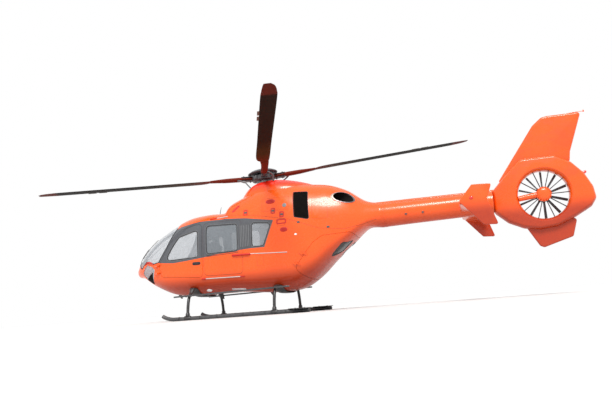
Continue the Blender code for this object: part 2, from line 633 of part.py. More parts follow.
def make_tail():
    """The boom, the duct housing with its fan, the fins and the stabiliser."""
    stations = ((2.72 + SEAT_GAP, 1.98, 0.270), (3.40, 1.985, 0.258), (4.30, 1.99, 0.246), (5.08 - SEAT_GAP, 1.995, 0.236))
    outside = [[(r * math.cos(a), y, z + r * math.sin(a)) for a in np.linspace(0, 2 * math.pi, 24, endpoint=False)] for y, z, r in stations]
    inside = [[(x * (r - 0.02) / r, y, c + (z - c) * (r - 0.02) / r) for x, y, z in ring] for ring, (_, c, r) in zip(outside, stations)]
    inside[-1] = [(x, y - 0.03, z) for x, y, z in inside[-1]]
    boom = put_in_scene("tail_boom", hollow_tube(outside, inside), "paint")

    shroud = pillow("fan_shroud", SHROUD, 0.0, SHROUD_HALF, 0.07, "paint")
    duct = turned("duct_cutter", [(0.56, -0.30), (0.56, -SHROUD_HALF), (0.515, -0.105), (DUCT_RADIUS, -0.07), (DUCT_RADIUS, 0.07), (0.515, 0.105), (0.56, SHROUD_HALF), (0.56, 0.30)], 40, "paint", (0, 0, 0), fan_frame())
    boolean(shroud, "DIFFERENCE", helper(duct))
    fin = pillow("tail_fin", FIN, 0.0, 0.055, 0.05, "paint")
    grown = helper(pillow("shroud_grown", offset_outline(SHROUD, SEAT_GAP), 0.0, SHROUD_HALF + SEAT_GAP, 0.07, "paint"))
    boolean(fin, "DIFFERENCE", grown)
    lower = pillow("ventral_fin", VENTRAL_FIN, 0.0, 0.035, 0.03, "paint")
    boolean(lower, "DIFFERENCE", grown)

    boom_grown = helper(put_in_scene("boom_grown", skin([[(r * math.cos(a), y, z + r * math.sin(a)) for a in np.linspace(0, 2 * math.pi, 24, endpoint=False)] for y, z, r in ((y, z, r + SEAT_GAP) for y, z, r in stations)]), "paint"))
    for side, word in ((1, "left"), (-1, "right")):
        chord = ((4.40, 0.0), (4.46, 0.030), (4.60, 0.040), (4.91, 0.006), (4.91, -0.006), (4.60, -0.034), (4.46, -0.028))
        rings = [[(side * x, y, 1.86 + z) for y, z in chord] for x in (0.10, 1.3097)]
        half = put_in_scene(f"stabiliser_{word}", skin(rings), "paint")
        boolean(half, "DIFFERENCE", boom_grown)
        put_in_scene(f"end_plate_{word}", prism_mesh([(rounded(END_PLATE, 0.03), min(side * 1.31, side * 1.34), max(side * 1.31, side * 1.34))]), "paint")

    frame = fan_frame()
    stator = turned("fan_stator", [(0.13, 0.025), (0.15, 0.05), (0.15, 0.15), (0.10, 0.175)], 20, "paint", (0, 0, 0), frame)
    for index in range(FAN_BLADES):
        angle = math.radians(18) + index * 2 * math.pi / FAN_BLADES
        place = frame @ Matrix.Rotation(angle, 4, "Z")
        vane = skin([[place @ Vector((r, y, z)) for y, z in ((-0.010, 0.03), (0.010, 0.03), (0.010, 0.105), (-0.010, 0.105))] for r in (0.12, DUCT_RADIUS - SEAT_GAP * 2)])
        fuse(stator, put_in_scene(f"vane_{index}", vane, "paint"))
    shaft = turned("fan_shaft_fairing", [(0.06, 0.10), (0.06, DUCT_RADIUS + 0.005)], 12, "paint", (0, 0, 0), frame @ Matrix.Translation((0, 0, 0.085)) @ Matrix.Rotation(math.radians(-90), 4, "X"))
    fuse(stator, shaft)
    boolean(stator, "INTERSECT", helper(turned("duct_core", [(DUCT_RADIUS - 0.0006, -0.29), (DUCT_RADIUS - 0.0006, 0.29)], 40, "paint", (0, 0, 0), frame)))

    origin = tuple(frame.translation)
    rotor = turned("fan_rotor", [(0.10, -0.115), (0.15, -0.09), (0.15, 0.0), (0.07, 0.010), (0.07, 0.0247)], 20, "black", (0, 0, 0), frame)
    for index in range(FAN_BLADES):
        angle = index * 2 * math.pi / FAN_BLADES
        place = frame @ Matrix.Rotation(angle, 4, "Z")
        blade = skin([[place @ Vector((r, y + twist * z, z - 0.045)) for y, z in ((-0.010, -0.035), (0.010, -0.035), (0.010, 0.035), (-0.010, 0.035))] for r, twist in ((0.12, 1.4), (0.30, 1.0), (0.490, 0.7))])
        fuse(rotor, put_in_scene(f"fan_blade_{index}", blade, "black"))
    move_origin(rotor, origin)


def hollow_tube(outside, inside):
    """A tube open at its first end, with a wall between the two lists of rings."""
    builder = bmesh.new()
    out = [[builder.verts.new(point) for point in ring] for ring in outside]
    into = [[builder.verts.new(point) for point in ring] for ring in inside]
    count = len(out[0])
    for i in range(count):
        j = (i + 1) % count
        for a, b in zip(out, out[1:]):
            builder.faces.new((a[i], a[j], b[j], b[i]))
        for a, b in zip(into, into[1:]):
            builder.faces.new((a[j], a[i], b[i], b[j]))
        builder.faces.new((out[0][j], out[0][i], into[0][i], into[0][j]))
    builder.faces.new(out[-1])
    builder.faces.new(into[-1])
    return builder


def fan_frame():
    """The fan's own frame: origin at the duct's centre, Z along +X, the side the vanes are on."""
    return Matrix.Translation((0, FAN_Y, FAN_Z)) @ Matrix.Rotation(math.radians(90), 4, "Y")


def belly_path(y, reach, clear):
    """Points under the fuselage at one station, from x = -reach to reach, kept clear of the skin."""
    ring = section(row_at(BODY, y), 240)
    ring = ring[(ring[:, 2] < 1.0) & (np.abs(ring[:, 0]) < reach + 0.1)]
    ring = ring[np.argsort(ring[:, 0])]
    slope = np.gradient(ring[:, 2], ring[:, 0])
    normal = np.stack([slope, -np.ones_like(slope)], axis=1) / np.hypot(slope, 1.0)[:, None]
    x = ring[:, 0] + normal[:, 0] * clear
    z = ring[:, 2] + normal[:, 1] * clear
    stations = np.linspace(-reach, reach, 9)
    return [(s, np.interp(s, x, z)) for s in stations]


def make_landing_gear():
    """Two cross tubes with flat fairings under the belly, two skids, their snow pads and the steps."""
    legs_grown = []
    for word, y in (("front", FRONT_TUBE_Y), ("rear", REAR_TUBE_Y)):
        middle = belly_path(y, 0.64, 0.021)
        legs = ((SKID_X, 0.0885), (0.965, 0.30), (0.925, 0.43), (0.870, 0.525), (0.790, 0.580), (0.715, middle[-1][1] + 0.012))
        profile = [(x, z, 0.033, 0.033) for x, z in legs]
        profile[4:] = [(legs[4][0], legs[4][1], 0.040, 0.033), (legs[5][0], legs[5][1], 0.060, 0.026)]
        half = [(x, z, 0.105, 0.018) for x, z in middle]
        rows = [(-x, z, a, b) for x, z, a, b in profile] + half + list(reversed(profile))
        cross_tube = put_in_scene(f"cross_tube_{word}", flat_sweep(rows, y), "black")
        boolean(cross_tube, "DIFFERENCE", bpy.data.objects["body_grown"])
        grown = [(x, z, a + SEAT_GAP, b + SEAT_GAP) for x, z, a, b in rows]
        legs_grown.append(helper(put_in_scene(f"leg_grown_{word}", flat_sweep(grown, y), "black")))
    for side, word in ((1, "left"), (-1, "right")):
        x = side * SKID_X
        front = [(x, -2.20, 0.125), (x, -2.14, 0.088), (x, -2.04, 0.058), (x, -1.90, SKID_RADIUS)]
        tube(f"skid_{word}", front + [(x, -0.4, SKID_RADIUS), (x, 1.16, SKID_RADIUS)], SKID_RADIUS, "black", 12)
        pad = [(y, dx) for y, dx in SNOW_PAD]
        builder = bmesh.new()
        top = [builder.verts.new((x + dx, y, 0.0963)) for y, dx in pad]
        low = [builder.verts.new((x + dx, y, 0.0843)) for y, dx in pad]
        builder.faces.new(top)
        builder.faces.new(list(reversed(low)))
        for i in range(len(top)):
            j = (i + 1) % len(top)
            builder.faces.new((top[i], low[i], low[j], top[j]))
        put_in_scene(f"snow_pad_{word}", builder, "black")
        step_x = side * 0.935
        rings = [[(step_x + dx, y, z + dz) for dx, dz in ((-0.04, -0.016), (0.04, -0.016), (0.04, 0.016), (-0.04, 0.016))] for y, z in ((-1.95, 0.525), (0.74, 0.565))]
        board = put_in_scene(f"step_board_{word}", skin(rings), "black")
        boolean(board, "DIFFERENCE", *legs_grown)


def flat_sweep(rows, y):
    """A closed bar in the plane of one station: each row is x, z, half width along Y, half thickness."""
    points = [Vector((x, z)) for x, z, _, _ in rows]
    rings = []
    for i, (x, z, wide, thick) in enumerate(rows):
        along = (points[min(i + 1, len(points) - 1)] - points[max(i - 1, 0)]).normalized()
        normal = Vector((-along.y, along.x))
        ring = []
        for k in range(12):
            turn = 2 * math.pi * (k + 0.5) / 12
            up = normal * math.sin(turn) * thick
            ring.append((x + up.x, y + math.cos(turn) * wide, z + up.y))
        rings.append(ring)
    rings[0] = [(x, y_, SKID_RADIUS * 2 + SEAT_GAP) for x, y_, _ in rings[0]]
    rings[-1] = [(x, y_, SKID_RADIUS * 2 + SEAT_GAP) for x, y_, _ in rings[-1]]
    return skin(rings)


def make_cabin_fittings():
    """What shows through the glass: the panel, two front seats and the bench behind them."""
    base = FLOOR_TOP + SEAT_GAP
    panel = [(-2.60, base), (-2.20, base), (-2.20, 1.10), (-2.38, 1.14), (-2.42, 1.34), (-2.58, 1.38), (-2.66, 1.20)]
    console = put_in_scene("instrument_panel", prism_mesh([(panel, -0.20, 0.20)]), "interior")
    boolean(console, "INTERSECT", bpy.data.objects["body_fitted"])
    seat = [(-1.98, base), (-1.50, base), (-1.44, 1.10), (-1.36, 1.80), (-1.46, 1.82), (-1.60, 1.24), (-2.02, 1.20), (-2.02, 1.08), (-1.98, 1.06)]
    for side, word in ((1, "left"), (-1, "right")):
        low, high = sorted((side * 0.09, side * 0.53))
        put_in_scene(f"front_seat_{word}", prism_mesh([(seat, low, high)]), "seat")
    bench = [(-0.30, base), (0.30, base), (0.42, 1.85), (0.30, 1.87), (0.14, 1.24), (-0.32, 1.20), (-0.32, 1.06)]
    put_in_scene("rear_bench", prism_mesh([(bench, -0.58, 0.58)]), "seat")


def main():
    clear_scene()
    airframe = bpy.data.objects.new("airframe", None)
    airframe.location = (0, MAST_Y, 0)
    bpy.context.collection.objects.link(airframe)
    cowl = make_fuselage()
    make_powerplant(cowl)
    make_main_rotor()
    make_tail()
    make_landing_gear()
    make_cabin_fittings()


if __name__ == "__main__":
    main()
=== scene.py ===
"""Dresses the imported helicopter: smooth skins, glazing, trim, rotor, tail fan, skids, cabin, floor and light.

Metres, +X to port, +Y aft, +Z up. Stations are measured aft of the rotor mast, which stands at MAST_Y.
"""

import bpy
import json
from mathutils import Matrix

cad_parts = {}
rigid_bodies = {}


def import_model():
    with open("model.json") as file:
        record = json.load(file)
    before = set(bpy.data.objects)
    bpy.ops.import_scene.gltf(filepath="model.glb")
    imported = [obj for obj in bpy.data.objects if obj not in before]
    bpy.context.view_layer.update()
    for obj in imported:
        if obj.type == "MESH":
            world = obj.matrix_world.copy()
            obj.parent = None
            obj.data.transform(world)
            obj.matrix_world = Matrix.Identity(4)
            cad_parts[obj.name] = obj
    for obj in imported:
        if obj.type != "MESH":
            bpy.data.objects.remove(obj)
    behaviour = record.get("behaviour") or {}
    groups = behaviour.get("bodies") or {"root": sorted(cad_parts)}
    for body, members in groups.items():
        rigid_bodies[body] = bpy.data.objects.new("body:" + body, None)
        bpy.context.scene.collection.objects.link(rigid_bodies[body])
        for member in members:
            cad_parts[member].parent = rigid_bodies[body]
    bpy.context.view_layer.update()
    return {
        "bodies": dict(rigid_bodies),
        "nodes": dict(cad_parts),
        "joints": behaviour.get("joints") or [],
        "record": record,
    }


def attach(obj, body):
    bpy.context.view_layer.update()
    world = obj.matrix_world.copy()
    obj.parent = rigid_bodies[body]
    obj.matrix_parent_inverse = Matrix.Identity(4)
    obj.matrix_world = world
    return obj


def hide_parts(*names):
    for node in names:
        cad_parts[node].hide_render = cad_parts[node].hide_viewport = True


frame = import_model()

import json
import math

import bmesh
import bpy
import numpy as np
from mathutils import Matrix, Vector

MAST_Y = -1.1495
HUB_HEIGHT = 3.16
MAST_TILT = math.radians(5.0)
BLADE_REST_TURN = math.radians(-22.0)
BLADE_CONE = math.radians(3.0)
FAN_Y, FAN_Z, DUCT_RADIUS = 6.09, 2.04, 0.50
SKID_X, SKID_RADIUS = 1.00, 0.042
WALL = 0.040
SIDES = ((1, "left"), (-1, "right"))

# The fuselage's cross-sections: station, z_low, z_wide, z_top, half_width, n_low, n_top
BODY = (
    (-3.35, 1.23, 1.23, 1.23, 0.000, 2.0, 2.0),
    (-3.28, 1.09, 1.20, 1.33, 0.140, 2.1, 2.0),
    (-3.08, 1.03, 1.21, 1.61, 0.325, 2.3, 2.2),
    (-2.72, 0.80, 1.23, 1.92, 0.535, 2.5, 2.4),
    (-2.25, 0.60, 1.24, 2.17, 0.680, 2.8, 2.7),
    (-1.75, 0.54, 1.25, 2.35, 0.755, 3.1, 3.2),
    (-1.25, 0.55, 1.26, 2.39, 0.772, 3.4, 3.8),
    (-0.84, 0.55, 1.27, 2.39, 0.772, 3.4, 3.9),
    (-0.68, 0.55, 1.27, 2.57, 0.774, 3.4, 3.6),
    (-0.40, 0.53, 1.26, 2.72, 0.776, 3.4, 3.0),
    (0.00, 0.49, 1.25, 2.88, 0.780, 3.4, 2.8),
    (0.40, 0.48, 1.25, 2.94, 0.785, 3.4, 2.6),
    (0.80, 0.53, 1.27, 2.91, 0.778, 3.3, 2.5),
    (1.20, 0.76, 1.35, 2.85, 0.742, 3.0, 2.4),
    (1.60, 1.11, 1.49, 2.78, 0.673, 2.6, 2.4),
    (2.00, 1.43, 1.66, 2.61, 0.565, 2.4, 2.4),
    (2.38, 1.71, 1.86, 2.34, 0.410, 2.1, 2.2),
    (2.72, 1.71, 1.98, 2.25, 0.270, 2.0, 2.0),
)
MAST_FAIRING = (
    (-0.61, 2.30, 2.40, 2.46, 0.12, 2.2, 2.2),
    (-0.47, 2.15, 2.45, 2.74, 0.30, 2.4, 2.4),
    (-0.25, 2.15, 2.50, 2.96, 0.42, 2.6, 2.6),
    (0.05, 2.15, 2.50, 3.05, 0.48, 2.8, 2.8),
    (0.40, 2.15, 2.50, 3.05, 0.48, 2.8, 2.8),
    (0.75, 2.15, 2.50, 2.99, 0.44, 2.7, 2.7),
    (1.10, 2.20, 2.45, 2.89, 0.34, 2.5, 2.5),
    (1.36, 2.30, 2.50, 2.78, 0.18, 2.2, 2.2),
)
# Side-view outlines (station, z)
COWL_SEAM = (
    (-0.80, 2.28), (-0.02, 2.19), (0.76, 2.02), (1.42, 1.76), (1.95, 1.70), (2.30, 1.77), (2.62, 1.87),
)
COWL_OUTLINE = COWL_SEAM + ((2.62, 3.30), (-0.80, 3.30))
WINDSHIELD = (
    (-3.19, 2.70), (-3.19, 1.40), (-3.07, 1.25), (-2.97, 1.35), (-2.86, 1.42), (-2.62, 1.34), (-2.47, 1.36),
    (-2.23, 1.69), (-2.06, 2.00), (-1.98, 2.12), (-1.98, 2.70),
)
CHIN_WINDOW = (
    (-3.03, 1.14), (-2.96, 1.27), (-2.84, 1.35), (-2.66, 1.28), (-2.58, 1.20), (-2.64, 1.02), (-2.70, 0.84),
    (-2.93, 0.99),
)
FRONT_DOOR = ((-2.40, 1.01), (-2.45, 1.29), (-2.19, 1.69), (-2.03, 1.92), (-1.85, 2.06), (-1.31, 2.15), (-1.31, 0.92))
FRONT_WINDOW = ((-2.27, 1.37), (-2.05, 1.70), (-1.90, 1.88), (-1.40, 2.00), (-1.40, 1.38))
SLIDING_DOOR = ((-1.27, 0.95), (-1.27, 2.15), (-0.34, 2.13), (-0.34, 0.93))
SLIDING_WINDOW = ((-1.19, 1.43), (-1.19, 2.07), (-0.44, 2.04), (-0.44, 1.44))
QUARTER_WINDOW = ((-0.10, 1.49), (-0.10, 2.03), (0.36, 1.98), (0.17, 1.49))
CLAMSHELL = (
    (0.85, 0.94), (1.13, 1.30), (1.28, 1.47), (1.48, 1.59), (2.14, 1.63), (2.14, 0.10), (1.12, 0.10), (1.12, 0.70),
    (0.97, 0.80),
)
INTAKE = ((0.89, 2.06), (0.85, 2.64), (1.17, 2.62), (1.21, 1.98))
CLAMSHELL_WINDOW = ((0.50, 1.87), (0.15, 2.06), (0.09, 1.78), (0.45, 1.58))
# Main rotor blade: radius, chord, thickness, lead of the front edge ahead of the pitch axis
BLADE = (
    (0.20, 0.130, 0.075, 0.065), (0.42, 0.115, 0.060, 0.058), (0.80, 0.120, 0.055, 0.060), (1.20, 0.150, 0.052, 0.062),
    (1.50, 0.290, 0.036, 0.085), (2.60, 0.290, 0.034, 0.080), (4.45, 0.290, 0.031, 0.080), (4.80, 0.262, 0.026, 0.062),
    (5.00, 0.205, 0.018, 0.020), (5.10, 0.120, 0.009, -0.050),
)
SHROUD = (
    (5.08, 2.22), (5.08, 1.76), (5.34, 1.52), (5.63, 1.38), (5.95, 1.32), (6.30, 1.36), (6.66, 1.52), (6.98, 1.70),
    (7.09, 1.86), (7.06, 2.10), (6.92, 2.40), (6.70, 2.66), (6.40, 2.84), (5.70, 2.84), (5.36, 2.52),
)
FIN = ((5.20, 2.37), (6.05, 3.53), (6.24, 3.68), (6.36, 3.70), (7.03, 3.69), (6.72, 2.88), (6.69, 2.68), (5.60, 2.37))
VENTRAL_FIN = ((5.62, 1.50), (5.90, 0.99), (5.98, 0.955), (6.56, 1.13), (6.68, 1.50))
END_PLATE = ((4.40, 1.90), (4.67, 2.21), (5.04, 2.19), (4.93, 1.90), (5.09, 1.39), (4.82, 1.41))


# Finishes
class Value:
    """A shader socket whose arithmetic adds Math nodes."""

    def __init__(self, finish, socket):
        self.finish, self.socket = finish, socket

    def math(self, operation, *others, clamp=False):
        inputs = [self] + list(others)
        return self.finish.node("ShaderNodeMath", {"operation": operation, "use_clamp": clamp}, inputs)

    def __add__(self, other): return self.math("ADD", other)
    def __radd__(self, other): return self.math("ADD", other)
    def __sub__(self, other): return self.math("SUBTRACT", other)
    def __rsub__(self, other): return self.finish.node("ShaderNodeMath", {"operation": "SUBTRACT"}, [other, self])
    def __mul__(self, other): return self.math("MULTIPLY", other)
    def __rmul__(self, other): return self.math("MULTIPLY", other)
    def __truediv__(self, other): return self.math("DIVIDE", other)
    def step(self, low, high):
        """0 below low, 1 above high, smooth between; low may be the larger."""
        return self.finish.node("ShaderNodeMapRange", {"interpolation_type": "SMOOTHSTEP"}, [self, low, high, 0.0, 1.0])
    def high(self, other): return self.math("MAXIMUM", other)
    def low(self, other): return self.math("MINIMUM", other)
    def absolute(self): return self.math("ABSOLUTE")


class Finish:
    """One procedural material and the only way that its nodes are made."""

    def __init__(self, name):
        self.material = bpy.data.materials.new(name)
        self.material.use_nodes = True
        self.tree = self.material.node_tree
        self.shader = self.tree.nodes["Principled BSDF"]
        place = self.tree.nodes.new("ShaderNodeTexCoord")
        self.place = Value(self, place.outputs["Object"])
        split = self.node("ShaderNodeSeparateXYZ", {}, [self.place], None)
        self.x, self.y, self.z = (Value(self, split.outputs[i]) for i in range(3))

    def node(self, kind, settings, inputs, output=0):
        made = self.tree.nodes.new(kind)
        for key, value in settings.items():
            if key == "stops":
                ramp = made.color_ramp
                while len(ramp.elements) < len(value):
                    ramp.elements.new(0.5)
                for element, (spot, colour) in zip(ramp.elements, value):
                    element.position = spot
                    element.color = (*colour, 1.0)
            else:
                setattr(made, key, value)
        pairs = inputs.items() if isinstance(inputs, dict) else enumerate(inputs)
        for key, value in pairs:
            if isinstance(value, Value):
                self.tree.links.new(value.socket, made.inputs[key])
            elif value is not None:
                made.inputs[key].default_value = value
        return made if output is None else Value(self, made.outputs[output])

    def noise(self, scale, detail=3.0, rough=0.5, vector=None):
        return self.node("ShaderNodeTexNoise", {}, {"Vector": vector or self.place, "Scale": scale, "Detail": detail, "Roughness": rough})

    def stretch(self, x, y, z):
        """The place, scaled by a different amount along each axis."""
        return self.node("ShaderNodeMapping", {}, {"Vector": self.place, "Scale": (x, y, z)})

    def mix(self, share, first, second):
        made = self.node("ShaderNodeMix", {"data_type": "RGBA"}, {}, None)
        for index, value in ((0, share), (6, first), (7, second)):
            if isinstance(value, Value):
                self.tree.links.new(value.socket, made.inputs[index])
            else:
                made.inputs[index].default_value = value if index == 0 else (*value, 1.0)
        return Value(self, made.outputs[2])

    def set(self, **values):
        """Sets or links sockets of the shader: each name's underscores stand for spaces."""
        for key, value in values.items():
            socket = self.shader.inputs[key.replace("_", " ")]
            if isinstance(value, Value):
                self.tree.links.new(value.socket, socket)
            elif isinstance(value, tuple) and len(value) == 3:
                socket.default_value = (*value, 1.0)
            else:
                socket.default_value = value
        return self

    def bump(self, height, strength=0.2, distance=0.002):
        normal = self.node("ShaderNodeBump", {}, {"Height": height, "Strength": strength, "Distance": distance})
        self.tree.links.new(normal.socket, self.shader.inputs["Normal"])
        return self


# Lower and upper edge of the dark band round the side windows: (station, z)
BAND_LOW = ((-2.47, 1.345), (-2.05, 1.30), (-1.71, 1.32), (-1.28, 1.36), (-0.70, 1.43), (-0.15, 1.46), (0.40, 1.455))
BAND_TOP = ((-2.47, 1.36), (-2.12, 2.02), (-1.90, 2.13), (-1.40, 2.20), (-0.75, 2.19), (-0.25, 2.15), (0.45, 2.03))


def window_band(f):
    """1 where the skin lies between the band's two edge lines and ahead of its slanted rear edge."""
    place = (f.y - (MAST_Y - 2.6)) / 3.2
    edges = []
    for line in (BAND_LOW, BAND_TOP):
        stops = tuple(((y + 2.6) / 3.2, ((z - 1.2) / 1.2,) * 3) for y, z in line)
        ramp = f.node("ShaderNodeValToRGB", {"stops": stops}, [place])
        edges.append(f.node("ShaderNodeSeparateColor", {}, [ramp]) * 1.2 + 1.2)
    low, top = edges
    rear = 0.185 + (f.z - 1.45) * 0.39 + MAST_Y
    post = f.x.absolute().step(0.056, 0.052) * f.y.step(-1.97 + MAST_Y, -2.01 + MAST_Y) * f.z.step(1.36, 1.38)
    return post.high((f.z - low).step(-0.002, 0.002) * (top - f.z).step(-0.002, 0.002) * (rear - f.y).step(-0.002, 0.002) * (f.y - (MAST_Y - 2.47)).step(0.0, 0.004))


def paint_finish():
    """Sprayed orange-red: slight mottling, faint dirt streaks, grime behind the exhausts, painted shade making it
    darker low down and deeper red on top below the rotor, a faint orange peel.
    """
    f = Finish("hull_paint")
    soft = f.noise(0.9, 3.0)
    fine = f.noise(14.0, 5.0, 0.6)
    colour = f.mix(soft.step(0.3, 0.7), (0.80, 0.082, 0.004), (0.84, 0.096, 0.006))
    # Painted shade: the top of the cowling and mast fairing, below the rotor, is painted a deeper red.
    crown = f.z.step(2.72, 2.98) * f.y.step(1.9 + MAST_Y, 1.0 + MAST_Y)
    colour = f.mix(crown, colour, (0.80, 0.016, 0.004))
    streaks = f.noise(1.0, 6.0, 0.6, f.stretch(30.0, 2.2, 7.0)).step(0.52, 0.78)
    colour = f.mix(streaks * 0.10, colour, (0.58, 0.030, 0.008))
    soot = f.y.step(1.0, 1.9) * f.z.step(1.95, 2.45) * f.noise(2.6, 5.0, 0.6, f.stretch(3.0, 0.8, 2.0)).step(0.35, 0.75)
    colour = f.mix(soot * 0.25, colour, (0.28, 0.020, 0.008))
    # Painted shade: the paint turns dark red towards the keel, standing for the shade under the hull; the same mask
    # also roughens the paint there.
    keel = (f.y - MAST_Y).step(0.75, 2.75) * 0.93 + 0.92
    belly = (keel - f.z).step(-0.14, 0.22) * (fine * 0.2 + 0.8)
    colour = f.mix(belly * 0.80, colour, (0.22, 0.006, 0.001))
    mask = window_band(f)
    colour = f.mix(mask, colour, f.mix(soft.step(0.3, 0.7), (0.066, 0.070, 0.080), (0.078, 0.082, 0.092)))
    rough = 0.24 + fine.step(0.4, 0.75) * 0.10 + belly * 0.25 + soot * 0.2
    peel = f.noise(420.0, 1.0)
    return f.set(Base_Color=colour, Roughness=rough, Coat_Weight=0.35, Coat_Roughness=0.10, Specular_IOR_Level=0.35).bump(peel, 0.05, 0.0006)


def plain_finish(name, colour, second, roughness, metallic=0.0, scale=24.0, spread=0.12, bump=0.15, grain=None, coat=0.0):
    """Two close colours in a noise, roughness that follows it, and a fine bump; grain stretches the pattern."""
    f = Finish(name)
    place = f.stretch(*grain) if grain else None
    cloudy = f.noise(scale, 5.0, 0.6, place)
    f.set(Base_Color=f.mix(cloudy.step(0.3, 0.7), colour, second), Roughness=cloudy * spread + (roughness - spread / 2), Metallic=metallic, Coat_Weight=coat)
    return f.bump(f.noise(scale * 9, 3.0), bump, 0.001) if bump else f


def glass_finish(name, tint, clear, roughness=0.02):
    """Acrylic: mostly see-through, with a film of haze that thickens with fine scratches."""
    f = Finish(name)
    haze = f.noise(5.0, 4.0, 0.6).step(0.35, 0.8)
    scratch = f.noise(60.0, 2.0, 0.5, f.stretch(1.0, 0.25, 3.0)).step(0.62, 0.75)
    f.set(Base_Color=tint, Roughness=roughness + haze * 0.03, Alpha=clear + haze * 0.05 + scratch * 0.03, IOR=1.49, Specular_IOR_Level=0.7)
    f.material.surface_render_method = "DITHERED"
    return f


FINISH = {}


def make_finishes():
    FINISH["paint"] = paint_finish()
    # A darker copy of the hull paint, used on the boom's rivet heads: painted shade.
    FINISH["shade_red"] = plain_finish("painted_shade_red", (0.42, 0.022, 0.008), (0.36, 0.018, 0.007), 0.5, scale=12, bump=0.05)
    FINISH["glass"] = glass_finish("window_acrylic", (0.46, 0.49, 0.53), 0.28)
    FINISH["tinted"] = glass_finish("tinted_acrylic", (0.22, 0.245, 0.27), 0.50)
    FINISH["dark"] = glass_finish("dark_acrylic", (0.012, 0.012, 0.012), 0.82)
    FINISH["clear"] = glass_finish("windshield_acrylic", (0.55, 0.58, 0.62), 0.30)
    FINISH["red"] = plain_finish("signal_red", (0.50, 0.005, 0.003), (0.44, 0.004, 0.003), 0.5, scale=12, bump=0.05)
    FINISH["seam"] = plain_finish("seam_dark", (0.050, 0.012, 0.010), (0.036, 0.010, 0.009), 0.6, scale=30, bump=0.05)
    # Light warm grey for the door rails, on a partly metallic finish: the light grey is a painted glint.
    FINISH["rail_glint"] = plain_finish("rail_painted_glint", (0.50, 0.47, 0.46), (0.58, 0.55, 0.53), 0.4, 0.3, 30, bump=0.05)
    FINISH["black"] = plain_finish("deep_black", (0.005, 0.004, 0.004), (0.010, 0.008, 0.006), 0.8, scale=40, bump=0.05).set(Specular_IOR_Level=0.1)
    FINISH["skid"] = plain_finish("skid_dark_grey", (0.036, 0.037, 0.041), (0.060, 0.060, 0.062), 0.38, scale=18, spread=0.16, bump=0.1, coat=0.15)
    FINISH["dull_steel"] = plain_finish("dull_steel", (0.13, 0.13, 0.135), (0.20, 0.20, 0.205), 0.4, 0.9, 30, bump=0.05)
    FINISH["seal"] = plain_finish("rubber_seal", (0.018, 0.018, 0.020), (0.028, 0.028, 0.030), 0.62, scale=60)
    FINISH["frame"] = plain_finish("window_frame_grey", (0.055, 0.058, 0.065), (0.075, 0.078, 0.085), 0.42, scale=40, bump=0.05)
    FINISH["gear"] = plain_finish("gear_black", (0.014, 0.014, 0.016), (0.030, 0.029, 0.028), 0.42, scale=18, spread=0.2, bump=0.12, coat=0.15)
    FINISH["grip"] = plain_finish("grip_strip", (0.020, 0.020, 0.020), (0.045, 0.045, 0.045), 0.9, scale=220, bump=0.8)
    FINISH["steel"] = plain_finish("brushed_steel", (0.42, 0.42, 0.43), (0.55, 0.55, 0.56), 0.32, 1.0, 30, 0.15, 0.08, (1.0, 8.0, 8.0))
    FINISH["hub"] = plain_finish("hub_dark_grey", (0.045, 0.046, 0.050), (0.070, 0.070, 0.074), 0.45, scale=22, coat=0.1)
    FINISH["cabin"] = plain_finish("cabin_trim", (0.085, 0.087, 0.092), (0.105, 0.107, 0.11), 0.78, scale=90, bump=0.5)
    FINISH["floor"] = plain_finish("cabin_carpet", (0.050, 0.052, 0.058), (0.075, 0.077, 0.082), 0.95, scale=160, bump=0.9)
    FINISH["light_trim"] = plain_finish("cabin_lining", (0.40, 0.41, 0.43), (0.46, 0.47, 0.49), 0.8, scale=70, bump=0.4)
    FINISH["belt"] = plain_finish("belt_webbing", (0.05, 0.05, 0.055), (0.09, 0.09, 0.095), 0.85, scale=300, bump=0.6)
    FINISH["lamp"] = plain_finish("lamp_lens", (0.75, 0.76, 0.78), (0.85, 0.86, 0.87), 0.12, scale=40, bump=0.1, coat=0.8)
    FINISH["red_lens"] = plain_finish("red_lens", (0.65, 0.02, 0.015), (0.75, 0.03, 0.02), 0.15, scale=40, bump=0.05, coat=0.8)


def blade_finish():
    """Dark composite with red-brown bands at the root and tip that fade in."""
    f = Finish("blade_composite")
    sine, cosine = math.sin(MAST_TILT), math.cos(MAST_TILT)
    y, z = f.y - MAST_Y, f.z - HUB_HEIGHT
    across = y * cosine + z * sine
    radius = (f.x * f.x + across * across).math("SQRT")
    grain = f.noise(7.0, 5.0, 0.6)
    dark = f.mix(grain.step(0.3, 0.75), (0.006, 0.004, 0.003), (0.014, 0.008, 0.005))
    tip = (radius + grain * 0.15).step(4.72, 4.80)
    colour = f.mix(tip, dark, (0.085, 0.012, 0.007))
    colour = f.mix((radius + grain * 0.3).step(2.8, 1.9), colour, (0.040, 0.017, 0.005))
    colour = f.mix((radius + grain * 0.3).step(2.0, 1.2), colour, (0.13, 0.016, 0.008))
    f.set(Base_Color=colour, Roughness=grain * 0.2 + 0.45, Specular_IOR_Level=0.05)
    return f.bump(f.noise(90.0, 3.0), 0.08, 0.001)


def exhaust_finish():
    """Heat-stained steel: straw to blue-brown along the pipe, sooty inside."""
    f = Finish("exhaust_steel")
    heat = f.y * 1.1 + f.noise(6.0, 4.0) * 0.35
    stain = f.node("ShaderNodeValToRGB", {"stops": ((0.0, (0.30, 0.28, 0.26)), (0.45, (0.42, 0.33, 0.24)), (0.75, (0.30, 0.25, 0.26)), (1.0, (0.16, 0.15, 0.15)))}, [heat.step(-0.2, 1.6)])
    return f.set(Base_Color=stain, Metallic=0.9, Roughness=f.noise(14.0, 4.0) * 0.25 + 0.28).bump(f.noise(80.0, 3.0), 0.1, 0.001)


